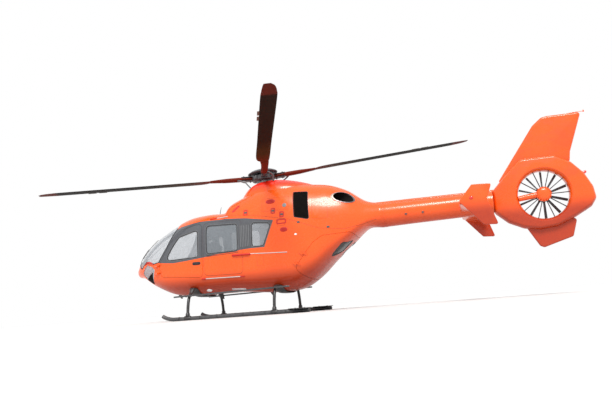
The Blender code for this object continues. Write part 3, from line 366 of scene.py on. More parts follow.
# Surfaces
def smooth_rows(table, steps):
    """Rows on a Catmull-Rom curve through the table's rows, steps per span."""
    rows = np.array(table, float)
    padded = np.vstack([2 * rows[0] - rows[1], rows, 2 * rows[-1] - rows[-2]])
    spans = np.arange(len(rows) - 1).repeat(steps)
    t = np.tile(np.arange(steps) / steps, len(rows) - 1)[:, None]
    a, b, c, d = (padded[spans + k] for k in range(4))
    found = 0.5 * (2 * b + (c - a) * t + (2 * a - 5 * b + 4 * c - d) * t**2 + (3 * b - a - 3 * c + d) * t**3)
    return np.vstack([found, rows[-1]])


FINE_BODY = smooth_rows(BODY, 40)


def body_row(y):
    """The seven columns at each given station, as one array per column."""
    return [np.interp(y, FINE_BODY[:, 0], FINE_BODY[:, i]) for i in range(1, 7)]


def skin_x(y, z, inset=0.0):
    """Half width at station y and height z: a (1 - |t|^n)^(1/n), t from the widest height to the rim."""
    y, z = np.broadcast_arrays(np.asarray(y, float), np.asarray(z, float))
    low, wide, top, half, n_low, n_top = body_row(y)
    up = z > wide
    share = np.where(up, (z - wide) / np.maximum(top - wide - inset, 1e-4), (wide - z) / np.maximum(wide - low - inset, 1e-4))
    n = np.where(up, n_top, n_low)
    return np.maximum(half - inset, 0) * np.maximum(1 - np.clip(share, 0, 1) ** n, 0) ** (1 / n)


def body_level(points):
    """Below 1 inside the body, above 1 outside: |x/a|^n + |t|^n, to the power 1/n."""
    x, y, z = points.T
    low, wide, top, half, n_low, n_top = body_row(y)
    up = z > wide
    n = np.where(up, n_top, n_low)
    share = np.where(up, (z - wide) / np.maximum(top - wide, 0.02), (wide - z) / np.maximum(wide - low, 0.02))
    return ((np.abs(x) / np.maximum(half, 0.02)) ** n + np.abs(share) ** n) ** (1 / n)


def level_normals(points, level):
    """Unit gradients of a level function, by central differences of 2 mm."""
    step = 0.002
    columns = [(level(points + shift) - level(points - shift)) for shift in np.eye(3) * step]
    slope = np.stack(columns, 1)
    return slope / np.maximum(np.linalg.norm(slope, axis=1), 1e-9)[:, None]


def section(row, points, inset=0.0):
    """One cross-section: x = a |cos|^(2/n), z = b |sin|^(2/n) about the widest height, less inset."""
    y, z_low, z_wide, z_top, half_width, n_low, n_top = row
    turn = np.linspace(0.0, 2 * math.pi, points, endpoint=False)
    cosine, sine = np.cos(turn), np.sin(turn)
    power = np.where(sine >= 0, 2 / n_top, 2 / n_low)
    reach = np.where(sine >= 0, z_top - z_wide - inset, z_wide - z_low - inset)
    x = (half_width - inset) * np.sign(cosine) * np.abs(cosine) ** power
    z = z_wide + np.maximum(reach, 0.0) * np.sign(sine) * np.abs(sine) ** power
    return np.stack([x, np.full(points, y), z], axis=1)


def even_section(row, points, inset=0.0):
    """The same cross-section with its points evenly spaced along its length."""
    ring = section(row, 720, inset)
    return even_loop(ring, points)


def even_loop(ring, points):
    """A closed loop resampled to evenly spaced points by its running length."""
    closed = np.vstack([ring, ring[:1]])
    run = np.r_[0, np.cumsum(np.linalg.norm(np.diff(closed, axis=0), axis=1))]
    spots = np.linspace(0, run[-1], points, endpoint=False)
    return np.stack([np.interp(spots, run, closed[:, i]) for i in range(ring.shape[1])], axis=1)


def grid_faces(rows, columns, wrap_rows=False, wrap_columns=False, first=0):
    """Quads of a rows x columns grid of points, numbered along each row."""
    i = np.arange(rows if wrap_rows else rows - 1)[:, None]
    j = np.arange(columns if wrap_columns else columns - 1)[None, :]
    i2, j2 = (i + 1) % rows, (j + 1) % columns
    quad = np.stack(np.broadcast_arrays(i * columns + j, i * columns + j2, i2 * columns + j2, i2 * columns + j), -1)
    return (quad.reshape(-1, 4) + first).tolist()


def mesh_piece(name, points, faces, finish, smooth=35):
    """A piece at the origin from world points and faces, its normals made to point outwards."""
    mesh = bpy.data.meshes.new(name)
    mesh.from_pydata(np.asarray(points, float).tolist(), [], faces)
    builder = bmesh.new()
    builder.from_mesh(mesh)
    bmesh.ops.remove_doubles(builder, verts=builder.verts, dist=1e-6)
    bmesh.ops.dissolve_degenerate(builder, dist=1e-7, edges=builder.edges)
    bmesh.ops.recalc_face_normals(builder, faces=builder.faces)
    builder.to_mesh(mesh)
    builder.free()
    mesh.materials.append(FINISH[finish].material)
    mesh.shade_smooth()
    if smooth:
        mesh.set_sharp_from_angle(angle=math.radians(smooth))
    piece = bpy.data.objects.new(name, mesh)
    bpy.context.collection.objects.link(piece)
    return piece


def joined(name, parts, finish, smooth=35):
    """One piece of several (points, faces) parts."""
    points, faces, count = [], [], 0
    for part_points, part_faces in parts:
        points.append(np.asarray(part_points, float).reshape(-1, 3))
        faces += [[index + count for index in face] for face in part_faces]
        count += len(points[-1])
    return mesh_piece(name, np.vstack(points), faces, finish, smooth)


def loft(rings, capped=True, closed=False):
    """Points and quads of rings of equal length, with flat ends or joined last to first."""
    rings = np.asarray(rings, float)
    count, around = rings.shape[:2]
    faces = grid_faces(count, around, closed, True)
    if capped and not closed:
        faces += [list(range(around))[::-1], [(count - 1) * around + k for k in range(around)]]
    return rings.reshape(-1, 3), faces


def station(points):
    """Station points moved to the world's frame."""
    return np.asarray(points, float) + [0.0, MAST_Y, 0.0]


def tube(path, radius, sides=12, flat=(1.0, 1.0), up=(0, 0, 1), capped=True):
    """A bar along a path: at each point a ring of cos and sin times the radius in the plane across the path."""
    path = np.asarray(path, float)
    radius = np.broadcast_to(np.asarray(radius, float), len(path))
    along = np.gradient(path, axis=0)
    along /= np.linalg.norm(along, axis=1)[:, None]
    across = np.cross(along, np.asarray(up, float))
    across /= np.maximum(np.linalg.norm(across, axis=1), 1e-9)[:, None]
    rise = np.cross(across, along)
    turn = np.linspace(0, 2 * math.pi, sides, endpoint=False)
    rings = path[:, None] + radius[:, None, None] * (np.cos(turn)[:, None] * across[:, None] * flat[0] + np.sin(turn)[:, None] * rise[:, None] * flat[1])
    return loft(rings, capped)


def revolve(profile, matrix, steps=32, closed=False):
    """A profile of (radius, height) pairs turned about a frame's Z axis."""
    profile = np.asarray(profile, float)
    turn = np.linspace(0, 2 * math.pi, steps, endpoint=False)
    rings = np.stack([profile[:, :1] * np.cos(turn), profile[:, :1] * np.sin(turn), np.repeat(profile[:, 1:], steps, 1)], -1)
    m = np.array(matrix)
    return loft(rings @ m[:3, :3].T + m[:3, 3], not closed, closed)


def curve_through(points, count, closed=False):
    """Evenly spaced points on a Catmull-Rom curve through the given ones."""
    points = np.asarray(points, float)
    if closed:
        padded = np.vstack([points[-1], points, points[0], points[1]])
    else:
        padded = np.vstack([2 * points[0] - points[1], points, 2 * points[-1] - points[-2]])
    spans = len(padded) - 3
    t = np.linspace(0, 1, 24, endpoint=False)[:, None]
    found = []
    for i in range(spans):
        a, b, c, d = padded[i : i + 4]
        found.append(0.5 * (2 * b + (c - a) * t + (2 * a - 5 * b + 4 * c - d) * t**2 + (3 * b - a - 3 * c + d) * t**3))
    fine = np.vstack(found + ([] if closed else [points[-1:]]))
    if closed:
        return even_loop(fine, count)
    run = np.r_[0, np.cumsum(np.linalg.norm(np.diff(fine, axis=0), axis=1))]
    spots = np.linspace(0, run[-1], count)
    return np.stack([np.interp(spots, run, fine[:, i]) for i in range(fine.shape[1])], axis=1)


def rounded(outline, radius=0.0, grow=0.0, arc_steps=8):
    """The outline moved outwards by grow, each corner turned on an arc of the radius plus what it grew."""
    points = [Vector(point) for point in outline]
    area = sum(a.x * b.y - b.x * a.y for a, b in zip(points, points[1:] + points[:1]))
    side = 1.0 if area > 0 else -1.0
    moved = []
    for i, corner in enumerate(points):
        into = (corner - points[i - 1]).normalized()
        out = (points[(i + 1) % len(points)] - corner).normalized()
        normal_in, normal_out = Vector((into.y, -into.x)) * side, Vector((out.y, -out.x)) * side
        bisector = (normal_in + normal_out).normalized()
        moved.append(corner + bisector * (grow / max(bisector.dot(normal_in), 0.3)))
    if radius <= 0:
        return np.array([tuple(p) for p in moved])
    found = []
    for i, corner in enumerate(moved):
        before, after = moved[i - 1] - corner, moved[(i + 1) % len(moved)] - corner
        half = before.angle(after) / 2
        if half > math.radians(82):
            found.append(tuple(corner))
            continue
        cut = min(max(radius + grow, 0.004) / math.tan(half), 0.45 * before.length, 0.45 * after.length)
        centre = corner + (before.normalized() + after.normalized()).normalized() * (cut * math.tan(half) / math.sin(half))
        first = corner + before.normalized() * cut - centre
        sweep = first.angle_signed(corner + after.normalized() * cut - centre)
        found += [tuple(centre + Matrix.Rotation(-sweep * k / arc_steps, 2) @ first) for k in range(arc_steps + 1)]
    return np.array(found)


def prism(outline, low, high, axis=0):
    """A straight prism of an outline along X (axis 0, outline in y and z) or Z (axis 2, outline in x and y)."""
    outline = np.asarray(outline, float)
    rings = [np.insert(outline, axis if axis == 0 else 2, value, axis=1) for value in (low, high)]
    return loft(rings)


def cut(piece, operation, *cutters):
    """Applies exact Booleans with the given (points, faces) solids, which are thrown away after."""
    for points, faces in cutters:
        tool = mesh_piece("tool", points, faces, "paint", 0)
        modifier = piece.modifiers.new("cut", "BOOLEAN")
        modifier.object, modifier.operation, modifier.solver = tool, operation, "EXACT"
        bpy.context.view_layer.update()
        graph = bpy.context.evaluated_depsgraph_get()
        result = bpy.data.meshes.new_from_object(piece.evaluated_get(graph))
        piece.modifiers.clear()
        old, piece.data = piece.data, result
        bpy.data.meshes.remove(old)
        bpy.data.meshes.remove(tool.data)
    return piece


def skin_normals(piece, lining=None):
    """Gives faces that lie along the body that surface's own normals, and lines the ones that face inwards."""
    mesh = piece.data
    count = len(mesh.loops)
    corner = np.empty(count, np.int32)
    mesh.loops.foreach_get("vertex_index", corner)
    points = np.empty(len(mesh.vertices) * 3, np.float32)
    mesh.vertices.foreach_get("co", points)
    points = points.reshape(-1, 3).astype(float) - [0.0, MAST_Y, 0.0]
    smooth = level_normals(points, body_level)[corner]
    flat = np.empty(len(mesh.polygons) * 3, np.float32)
    mesh.polygons.foreach_get("normal", flat)
    sizes = np.empty(len(mesh.polygons), np.int32)
    mesh.polygons.foreach_get("loop_total", sizes)
    flat = flat.reshape(-1, 3).repeat(sizes, axis=0)
    agree = (smooth * flat).sum(1)
    normals = np.where((agree > 0.75)[:, None], smooth, np.where((agree < -0.75)[:, None], -smooth, flat))
    mesh.shade_smooth()
    if lining:
        mesh.materials.append(FINISH[lining].material)
        first = np.r_[0, np.cumsum(sizes)[:-1]]
        mesh.polygons.foreach_set("material_index", (agree[first] < -0.75).astype(np.int32))
    mesh.normals_split_custom_set(normals.astype(np.float32).tolist())
    return piece


def lofted_body(table, inset=0.0, start=None, end=None, around=112, steps=7):
    """The table's rows as one closed solid moved inwards by inset, cut flat at the stations given."""
    rows = smooth_rows(table, steps)
    fine = smooth_rows(table, 40)
    pick = lambda y: np.r_[y, [np.interp(y, fine[:, 0], fine[:, i]) for i in range(1, 7)]]
    if start is not None:
        rows = np.vstack([pick(start), rows[rows[:, 0] > start + 0.02]])
    if end is not None:
        rows = np.vstack([rows[rows[:, 0] < end - 0.02], pick(end)])
    rings = np.array([even_section(row, around, inset) for row in rows])
    if start is None:
        rings[0] = rings[0].mean(axis=0) + [0.0, inset, 0.0]
    return station(loft(rings)[0]), loft(rings)[1]


def dress(piece, body, slot, *replaced):
    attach(piece, body)
    if replaced:
        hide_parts(*replaced)
    return piece


# Fuselage
def both_sides(outline, low=0.25, high=1.5):
    """Prisms of a side-view outline through both flanks, as one cutter."""
    outline = station(np.insert(outline, 0, 0.0, axis=1))[:, 1:]
    parts = [prism(outline, low, high), prism(outline, -high, -low)]
    count = len(parts[0][0])
    return np.vstack([p for p, _ in parts]), parts[0][1] + [[k + count for k in face] for face in parts[1][1]]


def through(outline, low=-1.5, high=1.5):
    outline = station(np.insert(outline, 0, 0.0, axis=1))[:, 1:]
    return prism(outline, low, high)


def belly_prism(side, grow):
    """The clamshell window's prism, upright, on one side."""
    outline = rounded(CLAMSHELL_WINDOW, 0.06, grow) * [side, 1.0] + [0.0, MAST_Y]
    return prism(outline, 0.85, 1.66, 2)


def on_skin(outline, side, lift=0.0):
    """Station points on the skin under a side-view line, lifted along the skin's normal."""
    outline = np.asarray(outline, float)
    points = np.stack([side * skin_x(outline[:, 0], outline[:, 1]), outline[:, 0], outline[:, 1]], 1)
    return points + level_normals(points, body_level) * lift


def on_nose(x, z, lift):
    """Station points on the skin ahead of each x and z, found by halving the span of stations, and lifted along the normal."""
    near, far = np.full(len(x), -3.34), np.full(len(x), -1.6)
    for _ in range(24):
        y = (near + far) / 2
        outside = body_level(np.stack([x, y, z], 1)) > 1
        near, far = np.where(outside, y, near), np.where(outside, far, y)
    points = np.stack([x, far, z], 1)
    return points + level_normals(points, body_level) * np.reshape(lift, (-1, 1))


def densify(outline, step=0.02, closed=True):
    """Points every step along a polyline, its corners kept."""
    outline = np.asarray(outline, float)
    ends = np.vstack([outline[1:], outline[:1]]) if closed else outline[1:]
    starts = outline if closed else outline[:-1]
    found = []
    for a, b in zip(starts, ends):
        n = max(int(np.ceil(np.linalg.norm(b - a) / step)), 1)
        found.append(a + (b - a) * np.arange(n)[:, None] / n)
    if not closed:
        found.append(outline[-1:])
    return np.vstack(found)


def skin_line(outline, side, radius, lift=0.0, closed=True, sides=6):
    """A thin bead laid on the skin along a side-view line."""
    path = on_skin(densify(outline, 0.02, closed), side, lift)
    if not closed:
        return tube(station(path), radius, sides)
    along = np.roll(path, -1, 0) - np.roll(path, 1, 0)
    along /= np.linalg.norm(along, axis=1)[:, None]
    out = level_normals(path, body_level)
    across = np.cross(along, out)
    turn = np.linspace(0, 2 * math.pi, sides, endpoint=False)
    rings = path[:, None] + radius * (np.cos(turn)[None, :, None] * across[:, None] + np.sin(turn)[None, :, None] * out[:, None])
    return loft(station(rings), False, True)


def band(outline, radius, inner, outer, side, lift, thick=0.004):
    """A flat ring on the skin between the outline grown by inner and by outer, its edges turned down."""
    a, b = rounded(outline, radius, inner), rounded(outline, radius, outer)
    count = len(densify(a))
    a, b = even_loop(a, count), even_loop(b, count)
    shift = np.argmin(np.linalg.norm(b - a[0], axis=1))
    b = np.roll(b, -shift, axis=0)
    rings = [on_skin(a, side, lift - thick), on_skin(a, side, lift), on_skin((a + b) / 2, side, lift + 0.0006), on_skin(b, side, lift), on_skin(b, side, lift - thick)]
    return loft(station(np.array(rings)), False, True)


def patch(outline, side, lift, rows=7, dome=0.0, thick=0.004):
    """A plate on the skin: rings from the outline's middle out to its rim, domed by (1 - r^2), with its edge turned down."""
    outline = densify(outline, 0.012)
    middle = outline.mean(axis=0)
    share = np.linspace(0.0, 1.0, rows)[1:]
    rings = [on_skin(middle + (outline - middle) * s, side, lift + dome * (1 - s * s)) for s in share]
    rings.append(on_skin(outline, side, lift - thick))
    points, faces = loft(station(np.array(rings)), False)
    points = np.vstack([points, station(on_skin(middle[None], side, lift + dome))])
    around = len(outline)
    faces += [[len(points) - 1, (k + 1) % around, k] for k in range(around)]
    faces += [[len(rings) * around - around + k for k in range(around)]]
    return points, faces


def knuckles(ends, side, moving, reach=0.10, length=0.035, radius=0.009):
    """Half of each hinge: a barrel on the hinge line and an arm that narrows from it to a foot in the skin."""
    start, end = (np.array([side * x, y, z]) for x, y, z in ends)
    along = (end - start) / np.linalg.norm(end - start)
    aft = np.array([0.0, along[2], -along[1]])
    aft /= np.linalg.norm(aft)
    found = []
    sign = 1 if moving else -1
    for place in (0.2, 0.78):
        middle = start + (end - start) * place + along * (length + 0.0003) / 2 * sign
        foot = middle + aft * reach * sign
        foot[0] = side * (skin_x(foot[1], foot[2]) - 0.004)
        across = np.cross(along, aft)
        turn = np.linspace(0, 2 * math.pi, 16, endpoint=False)
        ring = np.cos(turn)[:, None] * aft + np.sin(turn)[:, None] * across
        found.append(loft(station([middle + along * length * h + ring * radius * r for h, r in ((-0.5, 0.8), (-0.46, 1.0), (0.46, 1.0), (0.5, 0.8))])))
        steps = np.linspace(0, 1, 7)[:, None, None]
        bow = middle + (foot - middle) * steps + side * np.array([0.012, 0, 0]) * np.sin(math.pi * steps) * 0.5
        box = np.array([along * length * a * 0.46 + np.cross(along, (foot - middle) / reach) * b for a, b in ((-1, -1), (1, -1), (1, 1), (-1, 1))])
        box[:, :] = [along * length * a * 0.46 for a in (-1, 1, 1, -1)]
        thick = np.array([-1, -1, 1, 1])[:, None] * np.array([side * 0.007, 0, 0])
        found.append(loft(station((bow + box[None] + thick[None] * (1.0 + 0.3 * steps)).reshape(7, 4, 3))))
    return found


CHIN_GUSSET = ((-2.93, 1.00), (-2.66, 1.15), (-2.72, 0.87))
FRONT_HINGE = ((0.666, -2.490, 1.06), (0.666, -2.490, 1.36))
CLAMSHELL_HINGE = ((0.797, 0.827, 0.96), (0.782, 1.107, 1.32))


def make_skins():
    """Every panel of the fuselage: the lofted body, cut by the same outlines as the CAD, at a finer step."""
    outer = lofted_body(BODY)
    inner = lofted_body(BODY, WALL, -3.12, 2.64, 72, 4)
    glass_outer, glass_inner = lofted_body(BODY, 0.006, -3.30, None, 96, 6), lofted_body(BODY, 0.016, -3.20, None, 96, 6)
    windows = {
        "chin_window": (CHIN_WINDOW, 0.06, 0.20), "sliding_window": (SLIDING_WINDOW, 0.07, 0.25), "quarter_window": (QUARTER_WINDOW, 0.07, 0.25),
        "front_door_window": (FRONT_WINDOW, 0.07, 0.25), "windshield": (WINDSHIELD, 0.04, 0.035),
    }
    holes = {name: both_sides(rounded(o, r), x) for name, (o, r, x) in windows.items()}
    glazing = {"windshield": "clear", "chin_window": "clear", "sliding_window": "tinted"}
    shell = mesh_piece("hull_skin", *outer, "paint")
    cut(shell, "DIFFERENCE", inner, through(rounded(COWL_OUTLINE, 0, 0.0006)), both_sides(rounded(FRONT_DOOR, 0.10, 0.006)),
        both_sides(rounded(SLIDING_DOOR, 0.10, 0.002)), through(rounded(CLAMSHELL, 0.10, 0.006)), holes["windshield"], holes["chin_window"], holes["quarter_window"])
    dress(skin_normals(shell, "light_trim"), "airframe", "paint", "cabin_shell")

    for side, word in SIDES:
        for name, (outline, radius, x_low) in windows.items():
            shape = rounded(outline, radius, -0.0005)
            low, high = (x_low, 1.5) if side > 0 else (-1.5, -x_low)
            pane = mesh_piece(f"{name}_pane_{word}", *through(shape, low, high), glazing.get(name, "glass"))
            cut(pane, "INTERSECT", glass_outer)
            cut(pane, "DIFFERENCE", glass_inner)
            body = f"front_door_body_{word}" if name == "front_door_window" else "airframe"
            dress(skin_normals(pane), body, "glass", f"{name}_{word}")
        pane = mesh_piece(f"clamshell_pane_{word}", *belly_prism(side, -0.0005), "dark")
        cut(pane, "INTERSECT", glass_outer)
        cut(pane, "DIFFERENCE", glass_inner)
        dress(skin_normals(pane), f"clamshell_body_{word}", "glass", f"clamshell_window_{word}")

        low, high = (0.25, 1.5) if side > 0 else (-1.5, -0.25)
        panels = (
            ("front_door", FRONT_DOOR, holes["front_door_window"], f"front_door_body_{word}", low, high),
            ("sliding_door", SLIDING_DOOR, holes["sliding_window"], "airframe", low, high),
            ("clamshell_door", CLAMSHELL, belly_prism(side, 0.0), f"clamshell_body_{word}", *((0.003, 1.5) if side > 0 else (-1.5, -0.003))),
        )
        for name, outline, hole, body, near, far in panels:
            panel = mesh_piece(f"{name}_skin_{word}", *through(rounded(outline, 0.10), near, far), "paint")
            cut(panel, "INTERSECT", outer)
            cut(panel, "DIFFERENCE", inner, hole)
            dress(skin_normals(panel, "light_trim"), body, "paint", f"{name}_{word}")
        for name, ends in (("front_hinge", FRONT_HINGE), ("clamshell_hinge", CLAMSHELL_HINGE)):
            body = f"front_door_body_{word}" if name == "front_hinge" else f"clamshell_body_{word}"
            dress(joined(f"{name}_fixed_{word}", knuckles(ends, side, False), "paint"), "airframe", "paint")
            dress(joined(f"{name}_moving_{word}", knuckles(ends, side, True), "paint"), body, "paint")

    cowl = mesh_piece("cowling_skin", *through(rounded(COWL_OUTLINE, 0, 0)), "paint")
    cut(cowl, "INTERSECT", outer)
    cut(cowl, "DIFFERENCE", inner, both_sides(rounded(INTAKE, 0.03)), mast_bore())
    for side, _ in SIDES:
        cut(cowl, "DIFFERENCE", revolve([(0.1505, -0.02), (0.1505, 1.3)], exhaust_frame(side), 48))
    dress(skin_normals(cowl, "cabin"), "airframe", "paint", "engine_cowling")


def mast_frame():
    """The rotor's own frame in the world: origin at the hub's centre, Z up the mast, which leans forward."""
    return Matrix.Translation((0, MAST_Y, HUB_HEIGHT)) @ Matrix.Rotation(MAST_TILT, 4, "X")


def mast_bore():
    return revolve([(0.13, -1.6), (0.13, 0.2)], mast_frame(), 48)


def exhaust_frame(side):
    start = Vector((side * 0.285, 1.375 + MAST_Y, 2.350))
    along = Vector((side * 0.20, 0.97, 0.10)).normalized()
    return Matrix.Translation(start) @ Vector((0, 0, 1)).rotation_difference(along).to_matrix().to_4x4()


def belly_z(x, y):
    """Height of the skin's underside at a distance x from the centre line and a station."""
    low, wide, _, half, n_low, _ = body_row(np.asarray(y, float))
    return wide - (wide - low) * np.maximum(1 - np.clip(np.abs(x) / half, 0, 1) ** n_low, 0) ** (1 / n_low)


def belly_band(outline, radius, inner, outer, side, lift, thick=0.004):
    """Like band, for an outline seen from below, as (x, y)."""
    loops = []
    for grow in (inner, (inner + outer) / 2, outer):
        loops.append(even_loop(rounded(outline, radius, grow), 96) if not loops else None)
        if loops[-1] is None:
            loop = even_loop(rounded(outline, radius, grow), 96)
            loops[-1] = np.roll(loop, -np.argmin(np.linalg.norm(loop - loops[0][0], axis=1)), axis=0)
    rings = []
    for loop, rise in ((loops[0], lift - thick), (loops[0], lift), (loops[1], lift + 0.0006), (loops[2], lift), (loops[2], lift - thick)):
        points = np.stack([side * loop[:, 0], loop[:, 1], belly_z(loop[:, 0], loop[:, 1])], 1)
        rings.append(points + level_normals(points, body_level) * rise)
    return loft(station(np.array(rings)), False, True)


def skin_frame(y, z, side, lift=0.0):
    """A frame on the skin: Z along its outward normal, Y aft along it."""
    point = on_skin([(y, z)], side, lift)[0]
    normal = Vector(level_normals(point[None], body_level)[0])
    across = Vector((0, 1, 0)) - normal * normal.y
    across.normalize()
    frame = Matrix((across.cross(normal), across, normal)).transposed().to_4x4()
    frame.translation = Vector(station(point))
    return frame


def belly_frame(x, y, lift=0.0):
    point = np.array([x, y, float(belly_z(abs(x), y))])
    normal = Vector(level_normals(point[None], body_level)[0])
    across = (Vector((0, 1, 0)) - normal * normal.y).normalized()
    frame = Matrix((across.cross(normal), across, normal)).transposed().to_4x4()
    frame.translation = Vector(station(point)) + normal * lift
    return frame


def oval(width, length, height, matrix, steps=32, dome=0.6):
    """A domed oval button: rings of a stretched circle that shrink as they rise."""
    profile = [(1.0, -0.25), (1.0, 0.35), (0.93, 0.7), (0.75, 0.9), (0.4, 1.0), (0.02, 1.0)]
    turn = np.linspace(0, 2 * math.pi, steps, endpoint=False)
    rings = np.array([np.stack([width / 2 * r * np.cos(turn), length / 2 * r * np.sin(turn), np.full(steps, h * height)], 1) for r, h in profile])
    m = np.array(matrix)
    return loft(rings @ m[:3, :3].T + m[:3, 3])


def rectangle(y, z, wide, tall, radius=0.02):
    return rounded(((y - wide / 2, z - tall / 2), (y + wide / 2, z - tall / 2), (y + wide / 2, z + tall / 2), (y - wide / 2, z + tall / 2)), radius)


def make_trim():
    """Seals, seams, rails, handles, louvres, vents, hatches, lamps, antennas, wipers and the brow over the chin windows."""
    for side, word in SIDES:
        door = f"front_door_body_{word}"
        for name, outline, radius, body in (
            ("chin_window", CHIN_WINDOW, 0.06, "airframe"), ("sliding_window", SLIDING_WINDOW, 0.07, "airframe"),
            ("quarter_window", QUARTER_WINDOW, 0.07, "airframe"), ("front_door_window", FRONT_WINDOW, 0.07, door),
        ):
            if body:
                ring = [band(outline, radius, -0.010, 0.012, side, 0.0015)]
                dress(joined(f"{name}_seal_{word}", ring, "paint" if name == "chin_window" else "seal"), body, "gear_black")
                if name != "chin_window":
                    edge = [skin_line(rounded(outline, radius, 0.017), side, 0.0045, 0.0)]
                    dress(joined(f"{name}_edge_{word}", edge, "edge"), body, "gear_black")
        dress(joined(f"clamshell_window_seal_{word}", [belly_band(CLAMSHELL_WINDOW, 0.06, -0.010, 0.014, side, 0.0015)], "seal"), f"clamshell_body_{word}", "gear_black")
        sill = [skin_line(rounded(WINDSHIELD, 0.04)[12:-14], side, 0.009, 0.001, False)]
        dress(joined(f"windshield_seal_{word}", sill, "seal"), "airframe", "gear_black")

        seams = [skin_line(rounded(FRONT_DOOR, 0.10, 0.009), side, 0.0035, -0.014), skin_line(rounded(SLIDING_DOOR, 0.10, 0.001), side, 0.0035, -0.0012)]
        seams.append(skin_line(COWL_SEAM, side, 0.003, -0.0012, False))
        for y, z, wide, tall in ((0.075, 1.17, 0.15, 0.22), (-0.48, 2.41, 0.13, 0.14), (0.60, 1.97, 0.16, 0.16), (0.45, 2.40, 0.62, 0.30), (1.45, 2.15, 0.34, 0.36)):
            seams.append(skin_line(rectangle(y, z, wide, tall), side, 0.0022, -0.0009))
        dress(joined(f"panel_seams_{word}", seams, "seam"), "airframe", "paint")
        dress(joined(f"chin_gusset_{word}", [patch(CHIN_GUSSET, side, -0.0035, thick=0.002)], "black"), "airframe", "gear_black")
        lines = [skin_line(((-1.19, z), (-0.42, z + 0.03)), side, 0.006, 0.0, False) for z in (1.372, 1.400)]
        dress(joined(f"window_sill_lines_{word}", lines, "seal"), "airframe", "gear_black")

        backing = patch(rounded(((-0.39, 1.48), (-0.39, 2.04), (-0.135, 2.02), (-0.135, 1.48)), 0.02), side, 0.002)
        dress(joined(f"louvre_backing_{word}", [backing], "frame"), "airframe", "gear_black")
        louvre = []
        for y in np.linspace(-0.360, -0.165, 6):
            z = np.linspace(1.51, 1.99, 12)
            path = np.stack([side * (skin_x(np.full(12, y), z) + 0.006), np.full(12, y), z], 1)
            louvre.append(tube(station(path), 0.010, 6, (0.8, 0.7), (0, 1, 0)))
        dress(joined(f"louvre_panel_{word}", louvre, "edge"), "airframe", "gear_black")

        # The door rails take a light warm grey that stands for the glint along them: painted highlight.
        for name, finish, spans in (
            ("door_rails", "rail_glint", ((-0.33, 1.35, 0.70, 1.30, 0.011), (-1.24, 0.883, -0.42, 0.867, 0.013), (-0.96, 2.235, -0.66, 2.235, 0.014))),
            ("rail_ends", "red", ((-1.34, 0.885, -1.24, 0.883, 0.018), (-0.42, 0.867, -0.32, 0.865, 0.015), (-1.12, 2.225, -0.96, 2.235, 0.018))),
        ):
            rails = []
            for y0, z0, y1, z1, size in spans:
                y = np.linspace(y0, y1, 24)
                z = np.linspace(z0, z1, 24)
                path = np.stack([side * (skin_x(y, z) + size * 0.3), y, z], 1)
                rails.append(tube(station(path), size, 8, (1.0, 0.8)))
            dress(joined(f"{name}_{word}", rails, finish), "airframe", "gear_black")

        bar = curve_through([(side * (skin_x(y, z) + out), y, z) for y, z, out in ((-0.575, 1.343, 0.0), (-0.56, 1.342, 0.026), (-0.52, 1.341, 0.032), (-0.37, 1.338, 0.032), (-0.21, 1.334, 0.032), (-0.17, 1.333, 0.026), (-0.155, 1.333, 0.0))], 40)
        dress(joined(f"sliding_door_handle_{word}", [tube(station(bar), 0.020, 12, (0.8, 1.0))], "red"), "airframe", "paint")
        grip = curve_through([(side * (skin_x(y, z) + out), y, z) for y, z, out in ((-1.53, 1.245, 0.0), (-1.515, 1.244, 0.018), (-1.47, 1.242, 0.024), (-1.42, 1.240, 0.024), (-1.385, 1.238, 0.018), (-1.37, 1.237, 0.0))], 30)
        handle = [tube(station(grip), 0.009, 12, (1.0, 0.8)), patch(rectangle(-1.45, 1.242, 0.20, 0.07, 0.03), side, 0.0015)]
        dress(joined(f"front_door_handle_{word}", handle, "seal"), door, "gear_black")

        rings = [band(rectangle(y, z, 0.080, 0.110, 0.015), 0, -0.014, 0.012, side, 0.003) for y, z in ((-0.24, 2.275), (0.41, 2.245), (0.61, 2.145))]
        rings.append(band(rectangle(0.60, 1.985, 0.20, 0.085, 0.015), 0, -0.012, 0.012, side, 0.003))
        rings.append(band(rounded(((-0.58, 2.33), (-0.54, 2.33), (-0.40, 2.46), (-0.45, 2.46)), 0.01), 0, -0.012, 0.010, side, 0.003))
        dress(joined(f"latch_frames_{word}", rings, "red"), "airframe", "paint")
        latches = []
        for y, z in ((-0.24, 2.275), (0.41, 2.245), (0.61, 2.145), (0.98, 1.93), (1.62, 1.77)):
            frame = skin_frame(y, z, side)
            latches.append(placed(block((-0.020, -0.032, -0.002), (0.020, 0.032, 0.006), 0.003), frame))
            latches += [bolt(frame @ Matrix.Translation((0, dy, 0.006)), 0.006, 0.003) for dy in (-0.02, 0.02)]
        for y, z in ((3.26, 1.92), (3.62, 1.92)):
            r = 0.262
            spot = Matrix.Translation(station((side * 0.2585, y, z))) @ Matrix.Rotation(side * math.pi / 2, 4, "Y")
            latches.append(placed(block((-0.022, -0.010, -0.004), (0.022, 0.010, 0.005), 0.003), spot))
            latches.append(placed(block((-0.010, -0.030, -0.004), (0.010, 0.030, 0.004), 0.003), spot))
        dress(joined(f"cowl_latches_{word}", latches, "hub"), "airframe", "paint")

